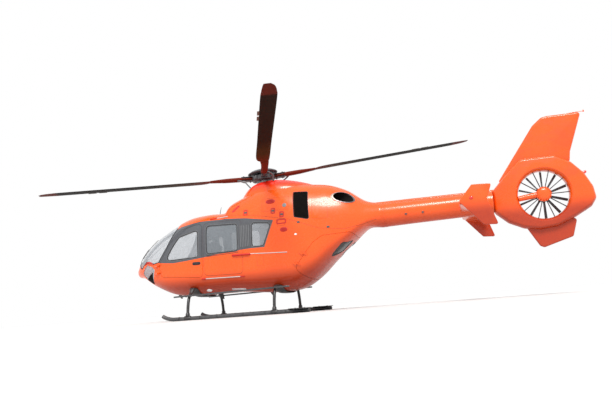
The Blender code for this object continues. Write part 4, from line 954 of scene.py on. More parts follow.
        vents = []
        for y, z, wide, long in ((0.34, 2.47, 0.11, 0.22), (0.65, 1.80, 0.10, 0.17)):
            frame = skin_frame(y, z, side)
            vents.append(oval(wide, long, 0.010, frame))
            for k in (-1, 0, 1):
                vents.append(placed(tube([(k * wide * 0.26, -long * 0.30, 0.011), (k * wide * 0.26, long * 0.30, 0.011)], 0.006, 8), frame))
        dress(joined(f"oval_vents_{word}", vents, "red"), "airframe", "paint")
        caps = [revolve([(0.048, -0.003), (0.048, 0.004), (0.042, 0.008), (0.030, 0.009), (0.028, 0.006), (0.002, 0.006)], skin_frame(0.67, 2.35, side), 32)]
        caps.append(placed(block((-0.020, -0.004, 0.006), (0.020, 0.004, 0.011), 0.001), skin_frame(0.67, 2.35, side)))
        dress(joined(f"filler_cap_{word}", caps, "edge"), "airframe", "bare_metal")

        lamps = [oval(0.09, 0.13, 0.020, belly_frame(side * 0.56, -1.25)), oval(0.04, 0.06, 0.012, skin_frame(0.91, 1.67, side))]
        strip = [(-0.025, -0.17), (0.025, -0.17), (0.025, 0.17), (-0.025, 0.17)]
        rings = [np.array([(x * s, y * s, h) for x, y in rounded(strip, 0.012)]) for s, h in ((1.0, -0.002), (1.0, 0.005), (0.97, 0.008))]
        lamps.append(placed(loft(rings), belly_frame(side * 0.53, -0.55)))
        dress(joined(f"belly_lamps_{word}", lamps, "lamp"), "airframe", "glass")
        dress(joined(f"marker_lamp_{word}", [oval(0.07, 0.10, 0.022, belly_frame(side * 0.53, -1.60))], "red_lens"), "airframe", "glass")

        brow = curve_through([(side * (skin_x(y, z) + 0.004), y, z) for y, z in ((-2.93, 1.345), (-2.87, 1.385), (-2.78, 1.390), (-2.70, 1.365), (-2.62, 1.320))], 40)
        size = 0.020 * np.sin(np.linspace(0.1, math.pi - 0.1, 40)) + 0.004
        dress(joined(f"chin_brow_{word}", [tube(station(brow), size, 16, (1.5, 0.8))], "red"), "airframe", "paint")

        arm = on_nose(side * np.linspace(0.10, 0.20, 20), np.linspace(1.42, 1.72, 20), np.r_[0.0, np.full(18, 0.022), 0.014])
        blade = on_nose(side * np.linspace(0.16, 0.24, 20), np.linspace(1.52, 1.92, 20), 0.008)
        wiper = [tube(station(arm), 0.006, 8, up=(1, 0, 0)), tube(station(blade), 0.006, 8, up=(1, 0, 0))]
        wiper.append(revolve([(0.018, -0.03), (0.018, 0.012), (0.012, 0.020), (0.002, 0.021)], Matrix.Translation(station(arm[0])), 16))
        dress(joined(f"wiper_{word}", wiper, "seal"), "airframe", "gear_black")

    masts = []
    for y, height, length in ((-2.27, 0.10, 0.09), (-1.22, 0.13, 0.13), (0.05, 0.11, 0.10)):
        z = float(belly_z(0.0, y))
        rings = []
        for s in np.linspace(0, 1, 5):
            turn = np.linspace(0, 2 * math.pi, 20, endpoint=False)
            rings.append(np.stack([0.012 * (1 - 0.6 * s) * np.sin(turn), y + 0.05 * s + length / 2 * (1 - 0.45 * s) * np.cos(turn), np.full(20, z + 0.004 - height * s)], 1))
        masts.append(loft(station(np.array(rings))))
    for y, height in ((-1.15, 0.20), (1.05, 0.0)):
        if height:
            low, wide, top, *_ = (float(v) for v in body_row(y))
            masts.append(tube(station([(0, y, top - 0.005), (0, y + 0.02, top + height * 0.5), (0, y + 0.05, top + height)]), [0.010, 0.006, 0.003], 10, up=(1, 0, 0)))
    dress(joined("antennas", masts, "gear"), "airframe", "gear_black")
    beacon = [revolve([(0.032, -0.01), (0.032, 0.012), (0.028, 0.035), (0.016, 0.048), (0.002, 0.050)], Matrix.Translation(station((0, 6.925, 2.415))) @ Matrix.Rotation(math.radians(-70), 4, "X"), 24)]
    for side in (-1, 1):
        beacon.append(oval(0.055, 0.075, 0.022, Matrix.Translation(station((side * 1.3395, 4.64, 1.95))) @ Matrix.Rotation(side * math.pi / 2, 4, "Y"), 24))
    dress(joined("beacon_lights", beacon, "red_lens"), "airframe", "glass")
    tail_lamp = [revolve([(0.020, -0.01), (0.020, 0.02), (0.012, 0.032), (0.002, 0.034)], Matrix.Translation(station((0, 6.84, 1.645))) @ Matrix.Rotation(math.radians(-120), 4, "X"), 20)]
    dress(joined("tail_lamp", tail_lamp, "lamp"), "airframe", "glass")
    rod = [tube(station([(0, 6.70, 3.690), (0, 6.90, 3.702), (0, 7.09, 3.700)]), [0.008, 0.007, 0.005], 10), oval(0.03, 0.03, 0.03, Matrix.Translation(station((0, 7.085, 3.695))), 16)]
    dress(joined("fin_rod", rod, "paint"), "airframe", "paint")


def make_powerplant():
    """The fairing round the mast, the intake grilles with a black sheet behind them that paints the shade inside the
    intakes, the exhaust pipes and the gearbox's fittings.
    """
    rows = smooth_rows(MAST_FAIRING, 8)
    points, faces = loft([even_section(row, 96) for row in rows])
    fairing = mesh_piece("mast_fairing_skin", station(points), faces, "paint", 0)
    grown = lofted_body(BODY, -0.0003, None, None, 96, 5)
    cut(fairing, "DIFFERENCE", grown, mast_bore())
    fairing.data.set_sharp_from_angle(angle=math.radians(35))
    dress(fairing, "airframe", "paint", "mast_fairing")
    collar = revolve([(0.128, -0.42), (0.150, -0.42), (0.158, -0.30), (0.150, -0.205), (0.135, -0.19), (0.124, -0.20), (0.118, -0.40)], mast_frame(), 48, True)
    dress(joined("mast_collar", [collar], "seal"), "airframe", "gear_black")

    trim = lofted_body(BODY, -0.014, None, None, 96, 6)
    for side, word in SIDES:
        frame = exhaust_frame(side)
        profile = [(0.150, 0.0), (0.150, 1.1), (0.1455, 1.1), (0.138, 1.08), (0.138, 0.0)]
        pipe = mesh_piece(f"exhaust_pipe_{word}", *revolve(profile, frame, 64, True), "exhaust", 35)
        cut(pipe, "INTERSECT", trim)
        pipe.data.set_sharp_from_angle(angle=math.radians(40))
        dress(pipe, "airframe", "bare_metal", f"exhaust_{word}")
        baffle = [revolve([(0.002, 0.17), (0.136, 0.17), (0.136, 0.16), (0.002, 0.16)], frame, 48)]
        baffle.append(revolve([(0.002, 0.44), (0.030, 0.38), (0.055, 0.28), (0.062, 0.172), (0.002, 0.172)], frame, 32))
        vane = np.array([[0.058, -0.003, 0.18], [0.137, -0.003, 0.18], [0.137, 0.003, 0.18], [0.058, 0.003, 0.18]])
        for k in range(6):
            m = np.array(frame @ Matrix.Rotation(k * math.pi / 3, 4, "Z"))
            rings = np.array([vane, vane + [0, 0, 0.07]]) @ m[:3, :3].T + m[:3, 3]
            baffle.append(loft(rings))
        dress(joined(f"exhaust_core_{word}", baffle, "black"), "airframe", "bare_metal")
        sleeve = mesh_piece(f"exhaust_sleeve_{word}", *revolve([(0.1378, 0.02), (0.1378, 1.1), (0.1360, 1.1), (0.1360, 0.02)], frame, 64, True), "black", 35)
        cut(sleeve, "INTERSECT", lofted_body(BODY, 0.004, None, None, 96, 6))
        sleeve.data.set_sharp_from_angle(angle=math.radians(40))
        dress(sleeve, "airframe", "bare_metal")

        outline = rounded(INTAKE, 0.03, -0.0005)
        # Painted shade: a black sheet 20 mm inside each intake stands for the shade in the duct behind the grille.
        back = patch(outline, side, -0.020, 8, 0.0, 0.006)
        low, high = outline[:, 1].min(), outline[:, 1].max()
        slats = []
        for z in np.arange(low + 0.03, high - 0.015, 0.026):
            inside = outline[np.abs(outline[:, 1] - z) < 0.05]
            y = np.interp(z, [1.98, 2.06, 2.62, 2.64], [1.205, 0.895, 0.858, 0.90])
            span = np.linspace(np.interp(z, [2.0, 2.05, 2.63], [1.10, 0.905, 0.862]), np.interp(z, [2.0, 2.61], [1.20, 1.165]), 8)
            path = np.stack([side * skin_x(span, z, 0.012), span, np.full(8, z)], 1)
            slats.append(tube(station(path), 0.006, 6, (1.0, 0.8)))
        dress(joined(f"intake_slats_and_shade_sheet_{word}", [back] + slats, "black"), "airframe", "gear_black", f"intake_grille_{word}")
        dress(joined(f"intake_rim_{word}", [band(INTAKE, 0.03, 0.0, 0.012, side, 0.003)], "seal"), "airframe", "gear_black")


def blade_surface(place, table=BLADE, around=40, steps=10):
    """Airfoil loops carried out along the radius: thickness 5t(0.2969 sqrt c - ...) of a symmetric section, cambered a little."""
    rows = smooth_rows(table, steps)
    rows = rows[rows[:, 0] <= table[-1][0]]
    turn = np.linspace(0, 2 * math.pi, around, endpoint=False)
    chordwise = 0.5 * (1 + np.cos(turn))
    thickness = 2.6 * (0.2969 * np.sqrt(chordwise) - 0.126 * chordwise - 0.3516 * chordwise**2 + 0.2843 * chordwise**3 - 0.1015 * chordwise**4)
    profile = np.sign(np.sin(turn)) * thickness * 2.0 + 0.10 * np.sin(math.pi * chordwise)
    oval = np.sin(turn)
    rings = []
    for radius, chord, thick, lead in rows:
        share = min(max((radius - 0.9) / 0.6, 0.0), 1.0)
        shape = oval * (1 - share) + profile * 1.0 * share
        rings.append(np.stack([np.full(around, radius), lead - chord * chordwise, thick / 2 * np.clip(shape, -1.05, 1.05)], 1))
    m = np.array(place)
    points, faces = loft(np.array(rings) @ m[:3, :3].T + m[:3, 3])
    return points, faces


def placed(part, matrix):
    """A (points, faces) part moved by a matrix."""
    m = np.array(matrix)
    return np.asarray(part[0]) @ m[:3, :3].T + m[:3, 3], part[1]


def block(low, high, soften=0.0):
    """A bar with its long edges chamfered, from one corner to the other."""
    (x0, y0, z0), (x1, y1, z1) = low, high
    c = soften
    ring = np.array([(y0 + c, z0), (y1 - c, z0), (y1, z0 + c), (y1, z1 - c), (y1 - c, z1), (y0 + c, z1), (y0, z1 - c), (y0, z0 + c)])
    ends = [(x0, 1 - c * 2 / max(y1 - y0, 1e-6)), (x0 + c, 1.0), (x1 - c, 1.0), (x1, 1 - c * 2 / max(y1 - y0, 1e-6))] if c else [(x0, 1.0), (x1, 1.0)]
    middle = np.array([(y0 + y1) / 2, (z0 + z1) / 2])
    rings = [np.insert(middle + (ring - middle) * s, 0, x, axis=1) for x, s in ends]
    return loft(rings)


def bolt(matrix, radius, height):
    """A six-sided head with a chamfered top."""
    return revolve([(radius, 0.0), (radius, height * 0.8), (radius * 0.82, height), (radius * 0.02, height)], matrix, 6)


def make_rotor():
    """Mast, hub, cap, blades with their tabs, grips and control cuffs, and the pitch links to a swashplate."""
    frame = mast_frame()
    mast = [revolve([(0.055, -0.5697), (0.055, -0.12), (0.09, -0.12), (0.09, -0.075)], frame, 48)]
    dress(joined("mast_shaft", mast, "steel"), "main_rotor", "bare_metal", "rotor_mast")
    hub = [revolve([(0.10, -0.0747), (0.20, -0.070), (0.262, -0.058), (0.27, -0.045), (0.27, 0.035), (0.262, 0.046), (0.20, 0.055), (0.10, 0.055)], frame, 64)]
    for k in range(4):
        turn = math.radians(90) - BLADE_REST_TURN + k * math.pi / 2 + math.pi / 4
        arm = frame @ Matrix.Rotation(turn, 4, "Z")
        hub.append(placed(block((0.20, -0.05, -0.050), (0.305, 0.05, 0.040), 0.012), arm))
        hub += [bolt(arm @ Matrix.Translation((0.25, dy, 0.040)), 0.014, 0.016) for dy in (-0.028, 0.028)]
    dress(joined("hub_head", hub, "hub"), "main_rotor", "gear_black", "rotor_hub")
    cap = [revolve([(0.10, 0.0553), (0.10, 0.088), (0.30, 0.094), (0.338, 0.099), (0.349, 0.108), (0.350, 0.118), (0.343, 0.127), (0.315, 0.144), (0.27, 0.166), (0.20, 0.180), (0.12, 0.1845), (0.01, 0.185)], frame, 72)]
    cap += [bolt(frame @ Matrix.Rotation(k * math.pi / 6, 4, "Z") @ Matrix.Translation((0.315, 0, 0.1415)), 0.007, 0.006) for k in range(12)]
    dress(joined("hub_cap_shell", cap, "hub"), "main_rotor", "gear_black", "hub_cap")

    for k in range(4):
        turn = math.radians(90) - BLADE_REST_TURN + k * math.pi / 2
        place = frame @ Matrix.Rotation(turn, 4, "Z") @ Matrix.Rotation(-BLADE_CONE, 4, "Y")
        dress(mesh_piece(f"blade_skin_{k + 1}", *blade_surface(place), "blade", 60), "main_rotor", "blade", f"main_blade_{k + 1}")
        fittings = []
        for low, high in ((3.62, 3.80), (3.86, 4.04)):
            fittings.append(placed(block((low, -0.245, -0.0045), (high, -0.205, 0.0), 0.001), place))
        dress(joined(f"trim_tabs_{k + 1}", fittings, "tab"), "main_rotor", "blade")
        grip = [placed(block((0.255, -0.075, 0.036), (0.52, 0.075, 0.052), 0.008), place), placed(block((0.255, -0.075, -0.056), (0.52, 0.075, -0.040), 0.008), place)]
        for x in (0.31, 0.46):
            for y in (-0.042, 0.042):
                grip.append(bolt(place @ Matrix.Translation((x, y, 0.052)), 0.017, 0.018))
                grip.append(bolt(place @ Matrix.Translation((x, y, -0.056)) @ Matrix.Rotation(math.pi, 4, "X"), 0.017, 0.018))
        dress(joined(f"blade_grip_{k + 1}", grip, "hub"), "main_rotor", "gear_black")
        sleeve_rows = ((0.50, 0.150, 0.095, 0.075), (0.56, 0.162, 0.104, 0.081), (0.80, 0.160, 0.100, 0.080), (1.05, 0.170, 0.085, 0.080), (1.24, 0.190, 0.064, 0.078))
        dress(mesh_piece(f"control_cuff_{k + 1}", *blade_surface(place, sleeve_rows, 32, 6), "blade", 40), "main_rotor", "blade")
        horn = placed(tube([(0.60, 0.06, -0.03), (0.56, 0.13, -0.055), (0.50, 0.175, -0.085), (0.44, 0.19, -0.11)], [0.022, 0.018, 0.016, 0.018], 12), place)
        top = np.array(place @ Vector((0.44, 0.19, -0.115)))
        low = np.array(frame @ Matrix.Rotation(turn, 4, "Z") @ Vector((0.215, 0.20, -0.43)))
        rod = tube([top, top * 0.9 + low * 0.1, top * 0.1 + low * 0.9, low], [0.011, 0.014, 0.014, 0.011], 12, up=(1, 0, 0))
        ends = [revolve([(0.004, -0.018), (0.018, -0.012), (0.022, 0.0), (0.018, 0.012), (0.004, 0.018)], Matrix.Translation(spot) @ Matrix.Rotation(turn, 4, "Z") @ Matrix.Rotation(math.pi / 2, 4, "X"), 16) for spot in (top, low)]
        dress(joined(f"pitch_link_{k + 1}", [horn, rod] + ends, "dull_steel"), "main_rotor", "bare_metal")
    plate = [revolve([(0.075, -0.455), (0.150, -0.462), (0.162, -0.455), (0.162, -0.425), (0.150, -0.418), (0.075, -0.410)], frame, 48, True)]
    for k in range(4):
        turn = math.radians(90) - BLADE_REST_TURN + k * math.pi / 2
        arm = [(0.14, 0.06, -0.438), (0.20, 0.14, -0.436), (0.215, 0.20, -0.432)]
        plate.append(placed(tube(arm, [0.022, 0.018, 0.016], 10), frame @ Matrix.Rotation(turn, 4, "Z")))
    for side in (-1, 1):
        link = [(side * 0.055, 0.0, -0.40), (side * 0.10, 0.0, -0.36), (side * 0.10, 0.0, -0.26), (side * 0.06, 0.0, -0.20)]
        plate.append(placed(tube(link, 0.012, 10, up=(0, 1, 0)), frame))
    plate.append(revolve([(0.057, -0.22), (0.085, -0.215), (0.085, -0.185), (0.057, -0.18)], frame, 32, True))
    dress(joined("swash_plate", plate, "dull_steel"), "main_rotor", "bare_metal")


def fan_frame():
    """The fan's own frame: origin at the duct's centre, Z along +X, the side the vanes are on."""
    return Matrix.Translation((0, FAN_Y + MAST_Y, FAN_Z)) @ Matrix.Rotation(math.radians(90), 4, "Y")


def pillow(outline, half, edge, radius=0.03, levels=7):
    """A plate with rounded rims: the outline is drawn in by edge (1 - cos) as x runs to half sin."""
    fine = rounded(outline, radius, 0.0, 6)
    count = max(len(densify(fine, 0.03)), 80)
    rings = []
    for k in range(-levels, levels + 1):
        turn = math.radians(90) * k / levels
        shape = rounded(outline, radius, -edge * (1 - math.cos(turn)), 6)
        loop = even_loop(shape, count)
        if rings:
            near = np.argmin(np.linalg.norm(loop - rings[-1][0, 1:], axis=1))
            loop = np.roll(loop, -near, axis=0)
        rings.append(np.insert(loop, 0, half * math.sin(turn), axis=1))
    return loft(station(np.array(rings)))


def smooth_outline(outline, per_side):
    """The outline with each corner cut twice (Chaikin), so that a lofted rim reads as one curve."""
    points = np.array(outline, float)
    for _ in range(2):
        after = np.roll(points, -1, axis=0)
        points = np.stack([0.75 * points + 0.25 * after, 0.25 * points + 0.75 * after], 1).reshape(-1, 2)
    return points


def make_tail():
    """Boom, duct housing, fan and vanes, fins, stabiliser and end plates."""
    spots = curve_through([(2.7203, 1.98, 0.270), (3.40, 1.985, 0.258), (4.30, 1.99, 0.246), (5.0797, 1.995, 0.236)], 30)
    turn = np.linspace(0, 2 * math.pi, 72, endpoint=False)
    rings = [np.stack([r * np.cos(turn), np.full(72, y), z + r * np.sin(turn)], 1) for y, z, r in spots]
    dress(mesh_piece("boom_skin", *loft(station(np.array(rings))), "paint", 40), "airframe", "paint", "tail_boom")
    for y, z, r in ((2.735, 1.98, 0.2715), (2.80, 1.98, 0.2705), (5.03, 1.995, 0.238)):
        ring = [(r - 0.006, -0.012), (r + 0.0015, -0.010), (r + 0.0015, 0.010), (r - 0.006, 0.012)]
        frame = Matrix.Translation((0, y + MAST_Y, z)) @ Matrix.Rotation(-math.pi / 2, 4, "X")
        dress(joined(f"boom_joint_{int(y * 100)}", [revolve(ring, frame, 72, True)], "paint"), "airframe", "paint")
    y = np.r_[2.46, np.linspace(2.56, 5.16, 20), 5.22]
    crest = np.interp(y, [2.46, 2.72, 3.4, 4.3, 5.08, 5.22], [2.25, 2.245, 2.243, 2.236, 2.231, 2.225])
    size = np.r_[0.02, np.full(20, 0.075), 0.03]
    ridge = [tube(station(np.stack([np.zeros(22), y, crest - 0.01], 1)), size, 24, (1.0, 0.6))]
    dress(joined("boom_shaft_cover", ridge, "paint"), "airframe", "paint")
    rivets = []
    for row in (2.775, 2.70):
        for angle in np.linspace(0, 2 * math.pi, 36, endpoint=False):
            r = 0.2712
            spot = Matrix.Translation((r * math.cos(angle), row + MAST_Y, 1.98 + r * math.sin(angle))) @ Matrix.Rotation(-angle, 4, "Y") @ Matrix.Rotation(math.pi / 2, 4, "Y")
            rivets.append(revolve([(0.0055, -0.002), (0.0052, 0.0008), (0.003, 0.0018), (0.0005, 0.0020)], spot, 8))
    # The rivet heads are painted darker red: painted shade.
    dress(joined("boom_fasteners", rivets, "shade_red"), "airframe", "paint")

    shroud = mesh_piece("duct_housing", *pillow(SHROUD, 0.155, 0.07, 0.12), "paint", 0)
    bell = [(0.56, -0.30), (0.56, -0.155), (0.541, -0.140), (0.524, -0.120), (0.510, -0.096), (0.502, -0.07), (0.50, -0.04), (0.50, 0.04), (0.502, 0.07), (0.510, 0.096), (0.524, 0.120), (0.541, 0.140), (0.56, 0.155), (0.56, 0.30)]
    cut(shroud, "DIFFERENCE", revolve(bell, fan_frame(), 96))
    shroud.data.set_sharp_from_angle(angle=math.radians(35))
    dress(shroud, "airframe", "paint", "fan_shroud")
    for name, outline, half, edge, node in (("fin_skin", FIN, 0.055, 0.05, "tail_fin"), ("lower_fin_skin", VENTRAL_FIN, 0.035, 0.03, "ventral_fin")):
        fin = mesh_piece(name, *pillow(outline, half, edge, 0.05), "paint", 0)
        cut(fin, "DIFFERENCE", pillow(SHROUD, 0.1553, 0.07, 0.12))
        fin.data.set_sharp_from_angle(angle=math.radians(40))
        dress(fin, "airframe", "paint", node)

    frame = fan_frame()
    hub = [revolve([(0.02, 0.180), (0.07, 0.178), (0.115, 0.165), (0.142, 0.140), (0.150, 0.11), (0.150, 0.05), (0.13, 0.025), (0.02, 0.025)], frame, 48)]
    vanes = []
    for k in range(10):
        turn = math.radians(18) + k * math.pi / 5
        m = np.array(frame @ Matrix.Rotation(turn, 4, "Z"))
        radius = np.linspace(0.12, 0.4988, 6)[:, None]
        loop = np.linspace(0, 2 * math.pi, 16, endpoint=False)[None]
        vane = np.stack(np.broadcast_arrays(radius, 0.0095 * np.sin(loop), 0.0675 + 0.038 * np.cos(loop)), -1)
        vanes.append(loft(vane @ m[:3, :3].T + m[:3, 3]))
    for k in range(16):
        hub.append(placed(block((0.118, -0.010, 0.150), (0.152, 0.010, 0.168), 0.003), frame @ Matrix.Rotation(k * math.pi / 8, 4, "Z")))
    dress(joined("vane_hub", hub, "paint", 40), "airframe", "paint", "fan_stator")
    dress(joined("vane_ring", vanes, "hub", 40), "airframe", "paint")
    shaft = tube(station([(0.085, y, 1.995 + (FAN_Z - 1.995) * s) for s, y in ((0.0, 5.592), (0.3, 5.70), (0.7, 5.85), (1.0, 5.96))]), [0.055, 0.058, 0.060, 0.062], 32, (1.0, 1.0))
    dress(joined("fan_shaft_cover", [shaft], "paint"), "airframe", "paint")

    rotor = [revolve([(0.01, -0.135), (0.06, -0.130), (0.11, -0.112), (0.142, -0.085), (0.15, -0.05), (0.15, 0.0), (0.07, 0.010), (0.07, 0.0247)], frame, 48)]
    for k in range(10):
        m = np.array(frame @ Matrix.Rotation(k * math.pi / 5, 4, "Z"))
        share = np.linspace(0, 1, 9)[:, None]
        radius = 0.13 + 0.36 * share
        pitch = np.radians(66 - 22 * share)
        chord = 0.082 - 0.012 * share
        loop = np.linspace(0, 2 * math.pi, 20, endpoint=False)[None]
        along, thick = chord / 2 * np.cos(loop), 0.0055 * np.sin(loop)
        blade = np.stack(np.broadcast_arrays(radius, along * np.cos(pitch) - thick * np.sin(pitch), along * np.sin(pitch) + thick * np.cos(pitch) - 0.045), -1)
        rotor.append(loft(blade @ m[:3, :3].T + m[:3, 3]))
        rotor.append(placed(revolve([(0.024, 0.13), (0.024, 0.165), (0.016, 0.185), (0.002, 0.187)], Matrix.Translation((0, 0, -0.045)) @ Matrix.Rotation(math.pi / 2, 4, "Y"), 16), m))
    dress(joined("fan_wheel", rotor, "hub", 40), "tail_fan", "gear_black", "fan_rotor")

    chord = curve_through([(4.40, 0.0), (4.42, 0.016), (4.48, 0.032), (4.60, 0.040), (4.75, 0.024), (4.908, 0.003), (4.908, -0.003), (4.75, -0.020), (4.60, -0.034), (4.48, -0.029), (4.42, -0.015)], 48, True)
    for side, word in SIDES:
        rings = [np.insert(chord + [0, 1.86], 0, side * x, axis=1) for x in np.linspace(0.20, 1.3097, 8)]
        dress(mesh_piece(f"stabiliser_skin_{word}", *loft(station(np.array(rings))), "paint", 50), "airframe", "paint", f"stabiliser_{word}")
        plate = pillow(END_PLATE, 0.015, 0.012, 0.03, 4)
        dress(mesh_piece(f"end_plate_skin_{word}", plate[0] + [side * 1.325, 0, 0], plate[1], "paint", 40), "airframe", "paint", f"end_plate_{word}")
        fairing = [tube(station([(side * x, 4.44, 1.862), (side * x, 4.50, 1.862), (side * x, 4.62, 1.862), (side * x, 4.78, 1.862), (side * x, 4.90, 1.862)]), [0.02, 0.05, 0.06, 0.045, 0.012], 24, (0.35, 1.0), (0, 0, 1)) for x in (1.306,)]
        dress(joined(f"plate_fairing_{word}", fairing, "paint"), "airframe", "paint")


def belly_path(y, reach, clear, count=15):
    """Points under the fuselage at one station, from x = -reach to reach, kept clear of the skin."""
    low, wide, top, half, n_low, n_top = (float(v) for v in body_row(y))
    ring = section([y, low, wide, top, half, n_low, n_top], 2400)
    ring = ring[(ring[:, 2] < 1.0) & (np.abs(ring[:, 0]) < reach + 0.1)]
    ring = ring[np.argsort(ring[:, 0])]
    slope = np.gradient(ring[:, 2], ring[:, 0])
    size = np.hypot(slope, 1.0)
    x, z = ring[:, 0] + slope / size * clear, ring[:, 2] - clear / size
    return [(s, np.interp(s, x, z)) for s in np.linspace(-reach, reach, count)]


def make_landing_gear():
    """Cross tubes with flat belly fairings, skids with wear shoes, snow pads, step boards and their brackets."""
    for word, y in (("front", -1.60), ("rear", 0.40)):
        middle = belly_path(y, 0.64, 0.021)
        leg = [(1.00, 0.0885, 0.033, 0.033), (0.965, 0.30, 0.033, 0.033), (0.925, 0.43, 0.033, 0.033), (0.870, 0.525, 0.033, 0.033), (0.790, 0.580, 0.040, 0.033), (0.715, middle[-1][1] + 0.012, 0.060, 0.026)]
        rows = [(-x, z, a, b) for x, z, a, b in leg] + [(x, z, 0.105, 0.018) for x, z in middle] + leg[::-1]
        rows = curve_through(rows, 96)
        along = np.gradient(rows[:, :2], axis=0)
        along /= np.linalg.norm(along, axis=1)[:, None]
        turn = np.linspace(0, 2 * math.pi, 28, endpoint=False)
        x = rows[:, :1] - along[:, 1:] * np.sin(turn) * rows[:, 3:]
        z = rows[:, 1:2] + along[:, :1] * np.sin(turn) * rows[:, 3:]
        rings = np.stack([x, np.broadcast_to(y + np.cos(turn) * rows[:, 2:3], x.shape), z], -1)
        rings[[0, -1], :, 2] = 0.0843
        bar = mesh_piece(f"cross_tube_skin_{word}", *loft(station(rings)), "gear", 40)
        cut(bar, "DIFFERENCE", lofted_body(BODY, -0.0003, None, None, 96, 4))
        bar.data.set_sharp_from_angle(angle=math.radians(40))
        dress(bar, "airframe", "gear_black", f"cross_tube_{word}")
        clamps = []
        for side, _ in SIDES:
            saddle = [(0.0435, -0.075), (0.052, -0.070), (0.056, -0.055), (0.056, 0.055), (0.052, 0.070), (0.0435, 0.075)]
            clamps.append(revolve(saddle, Matrix.Translation((side * SKID_X, y + MAST_Y, SKID_RADIUS)) @ Matrix.Rotation(math.pi / 2, 4, "X"), 32, True))
            foot = Vector((side * SKID_X, y + MAST_Y, 0.086))
            clamps.append(revolve([(0.034, 0.0), (0.048, 0.004), (0.046, 0.055), (0.0365, 0.075)], Matrix.Translation(foot) @ Matrix.Rotation(-side * 0.163, 4, "Y"), 28, True))
            clamps += [bolt(Matrix.Translation((side * SKID_X + dx, y + MAST_Y + dy, 0.082)), 0.010, 0.014) for dx in (-0.036, 0.036) for dy in (-0.055, 0.055)]
        clamps = [(np.maximum(points, [-9.0, -9.0, 0.001]), faces) for points, faces in clamps]
        dress(joined(f"skid_saddles_{word}", clamps, "gear"), "airframe", "gear_black")

    for side, word in SIDES:
        x = side * SKID_X
        path = curve_through([(x, -2.20, 0.125), (x, -2.14, 0.088), (x, -2.04, 0.058), (x, -1.90, SKID_RADIUS), (x, -1.2, SKID_RADIUS), (x, -0.4, SKID_RADIUS), (x, 0.4, SKID_RADIUS), (x, 1.16, SKID_RADIUS)], 70)
        dress(mesh_piece(f"skid_tube_{word}", *tube(station(path), 0.042, 32), "skid", 60), "airframe", "gear_black", f"skid_{word}")
        extras = [placed(revolve([(0.001, 0.0), (0.040, 0.0), (0.0415, -0.004), (0.030, -0.016), (0.001, -0.020)], Matrix.Translation((x, 1.16 + MAST_Y, SKID_RADIUS)) @ Matrix.Rotation(math.pi / 2, 4, "X"), 32), Matrix())]
        for y in (-1.80, -1.30, -0.90, -0.30, 0.20, 0.65):
            extras.append(revolve([(0.0425, -0.012), (0.0455, -0.010), (0.0455, 0.010), (0.0425, 0.012)], Matrix.Translation((x, y + MAST_Y, SKID_RADIUS)) @ Matrix.Rotation(math.pi / 2, 4, "X"), 28, True))
        extras = [(np.maximum(points, [-9.0, -9.0, 0.001]), faces) for points, faces in extras]
        dress(joined(f"skid_bands_{word}", extras, "gear"), "airframe", "gear_black")

        outline = rounded(((0.70, 0.0), (0.93, 0.285), (1.14, 0.285), (1.14, -0.285), (0.93, -0.285)), 0.02)[:, ::-1] + [x, 0.0]
        pad = [prism(outline + [0, MAST_Y], 0.0843, 0.0963, 2)]
        for dx in (-0.19, -0.10, 0.10, 0.19):
            start = 0.72 + abs(dx) * 0.81 + 0.02
            pad.append(tube(station([(x + dx, start, 0.082), (x + dx, 1.13, 0.082)]), 0.007, 8))
        rim = densify(outline, 0.03)
        path = np.column_stack([rim, np.full(len(rim), 0.0903)])
        path = np.vstack([path, path[:1]])
        pad.append(tube(station(path), 0.0075, 8))
        pad += [bolt(Matrix.Translation((x + dx, y + MAST_Y, 0.0963)), 0.009, 0.008) for dx in (-0.035, 0.035) for y in (0.86, 1.06)]
        dress(joined(f"snow_pad_plate_{word}", pad, "gear"), "airframe", "gear_black", f"snow_pad_{word}")

        step_x = side * 0.935
        ends = ((-1.95, 0.525), (0.74, 0.565))
        cross = np.array([(-0.040, -0.010), (-0.036, -0.016), (0.036, -0.016), (0.040, -0.010), (0.040, 0.012), (0.036, 0.016), (-0.036, 0.016), (-0.040, 0.012)])
        spots = np.linspace(0, 1, 40)
        taper = np.clip(np.minimum(spots, 1 - spots) * 40 + 0.35, 0, 1)
        rings = [[(step_x + a * t, ends[0][0] + (ends[1][0] - ends[0][0]) * s, ends[0][1] + (ends[1][1] - ends[0][1]) * s + b) for a, b in cross] for s, t in zip(spots, taper)]
        dress(mesh_piece(f"step_skin_{word}", *loft(station(np.array(rings))), "skid", 40), "airframe", "gear_black", f"step_board_{word}")
        strips = []
        for low, high in ((-1.88, -1.66), (-1.54, 0.34), (0.46, 0.69)):
            height = lambda y: 0.525 + (y + 1.95) / 2.69 * 0.04 + 0.0155
            ring = lambda y: [(step_x - 0.030, y, height(y)), (step_x + 0.030, y, height(y)), (step_x + 0.030, y, height(y) + 0.002), (step_x - 0.030, y, height(y) + 0.002)]
            strips.append(loft(station(np.array([ring(low), ring(high)]))))
        dress(joined(f"step_grip_{word}", strips, "grip"), "airframe", "gear_black")
        brackets = []
        for y in (-1.60, 0.40):
            z = 0.525 + (y + 1.95) / 2.69 * 0.04
            for dy in (-0.052, 0.052):
                brackets.append(placed(block((-0.042, -0.004, -0.026), (0.042, 0.004, 0.018), 0.002), Matrix.Translation((step_x - side * 0.01, y + dy + MAST_Y, z))))
            brackets += [bolt(Matrix.Translation((step_x + dx, y + dy + MAST_Y, z + 0.016)), 0.007, 0.006) for dx in (-0.028, 0.028) for dy in (-0.075, 0.075)]
        dress(joined(f"step_brackets_{word}", brackets, "dull_steel"), "airframe", "gear_black")


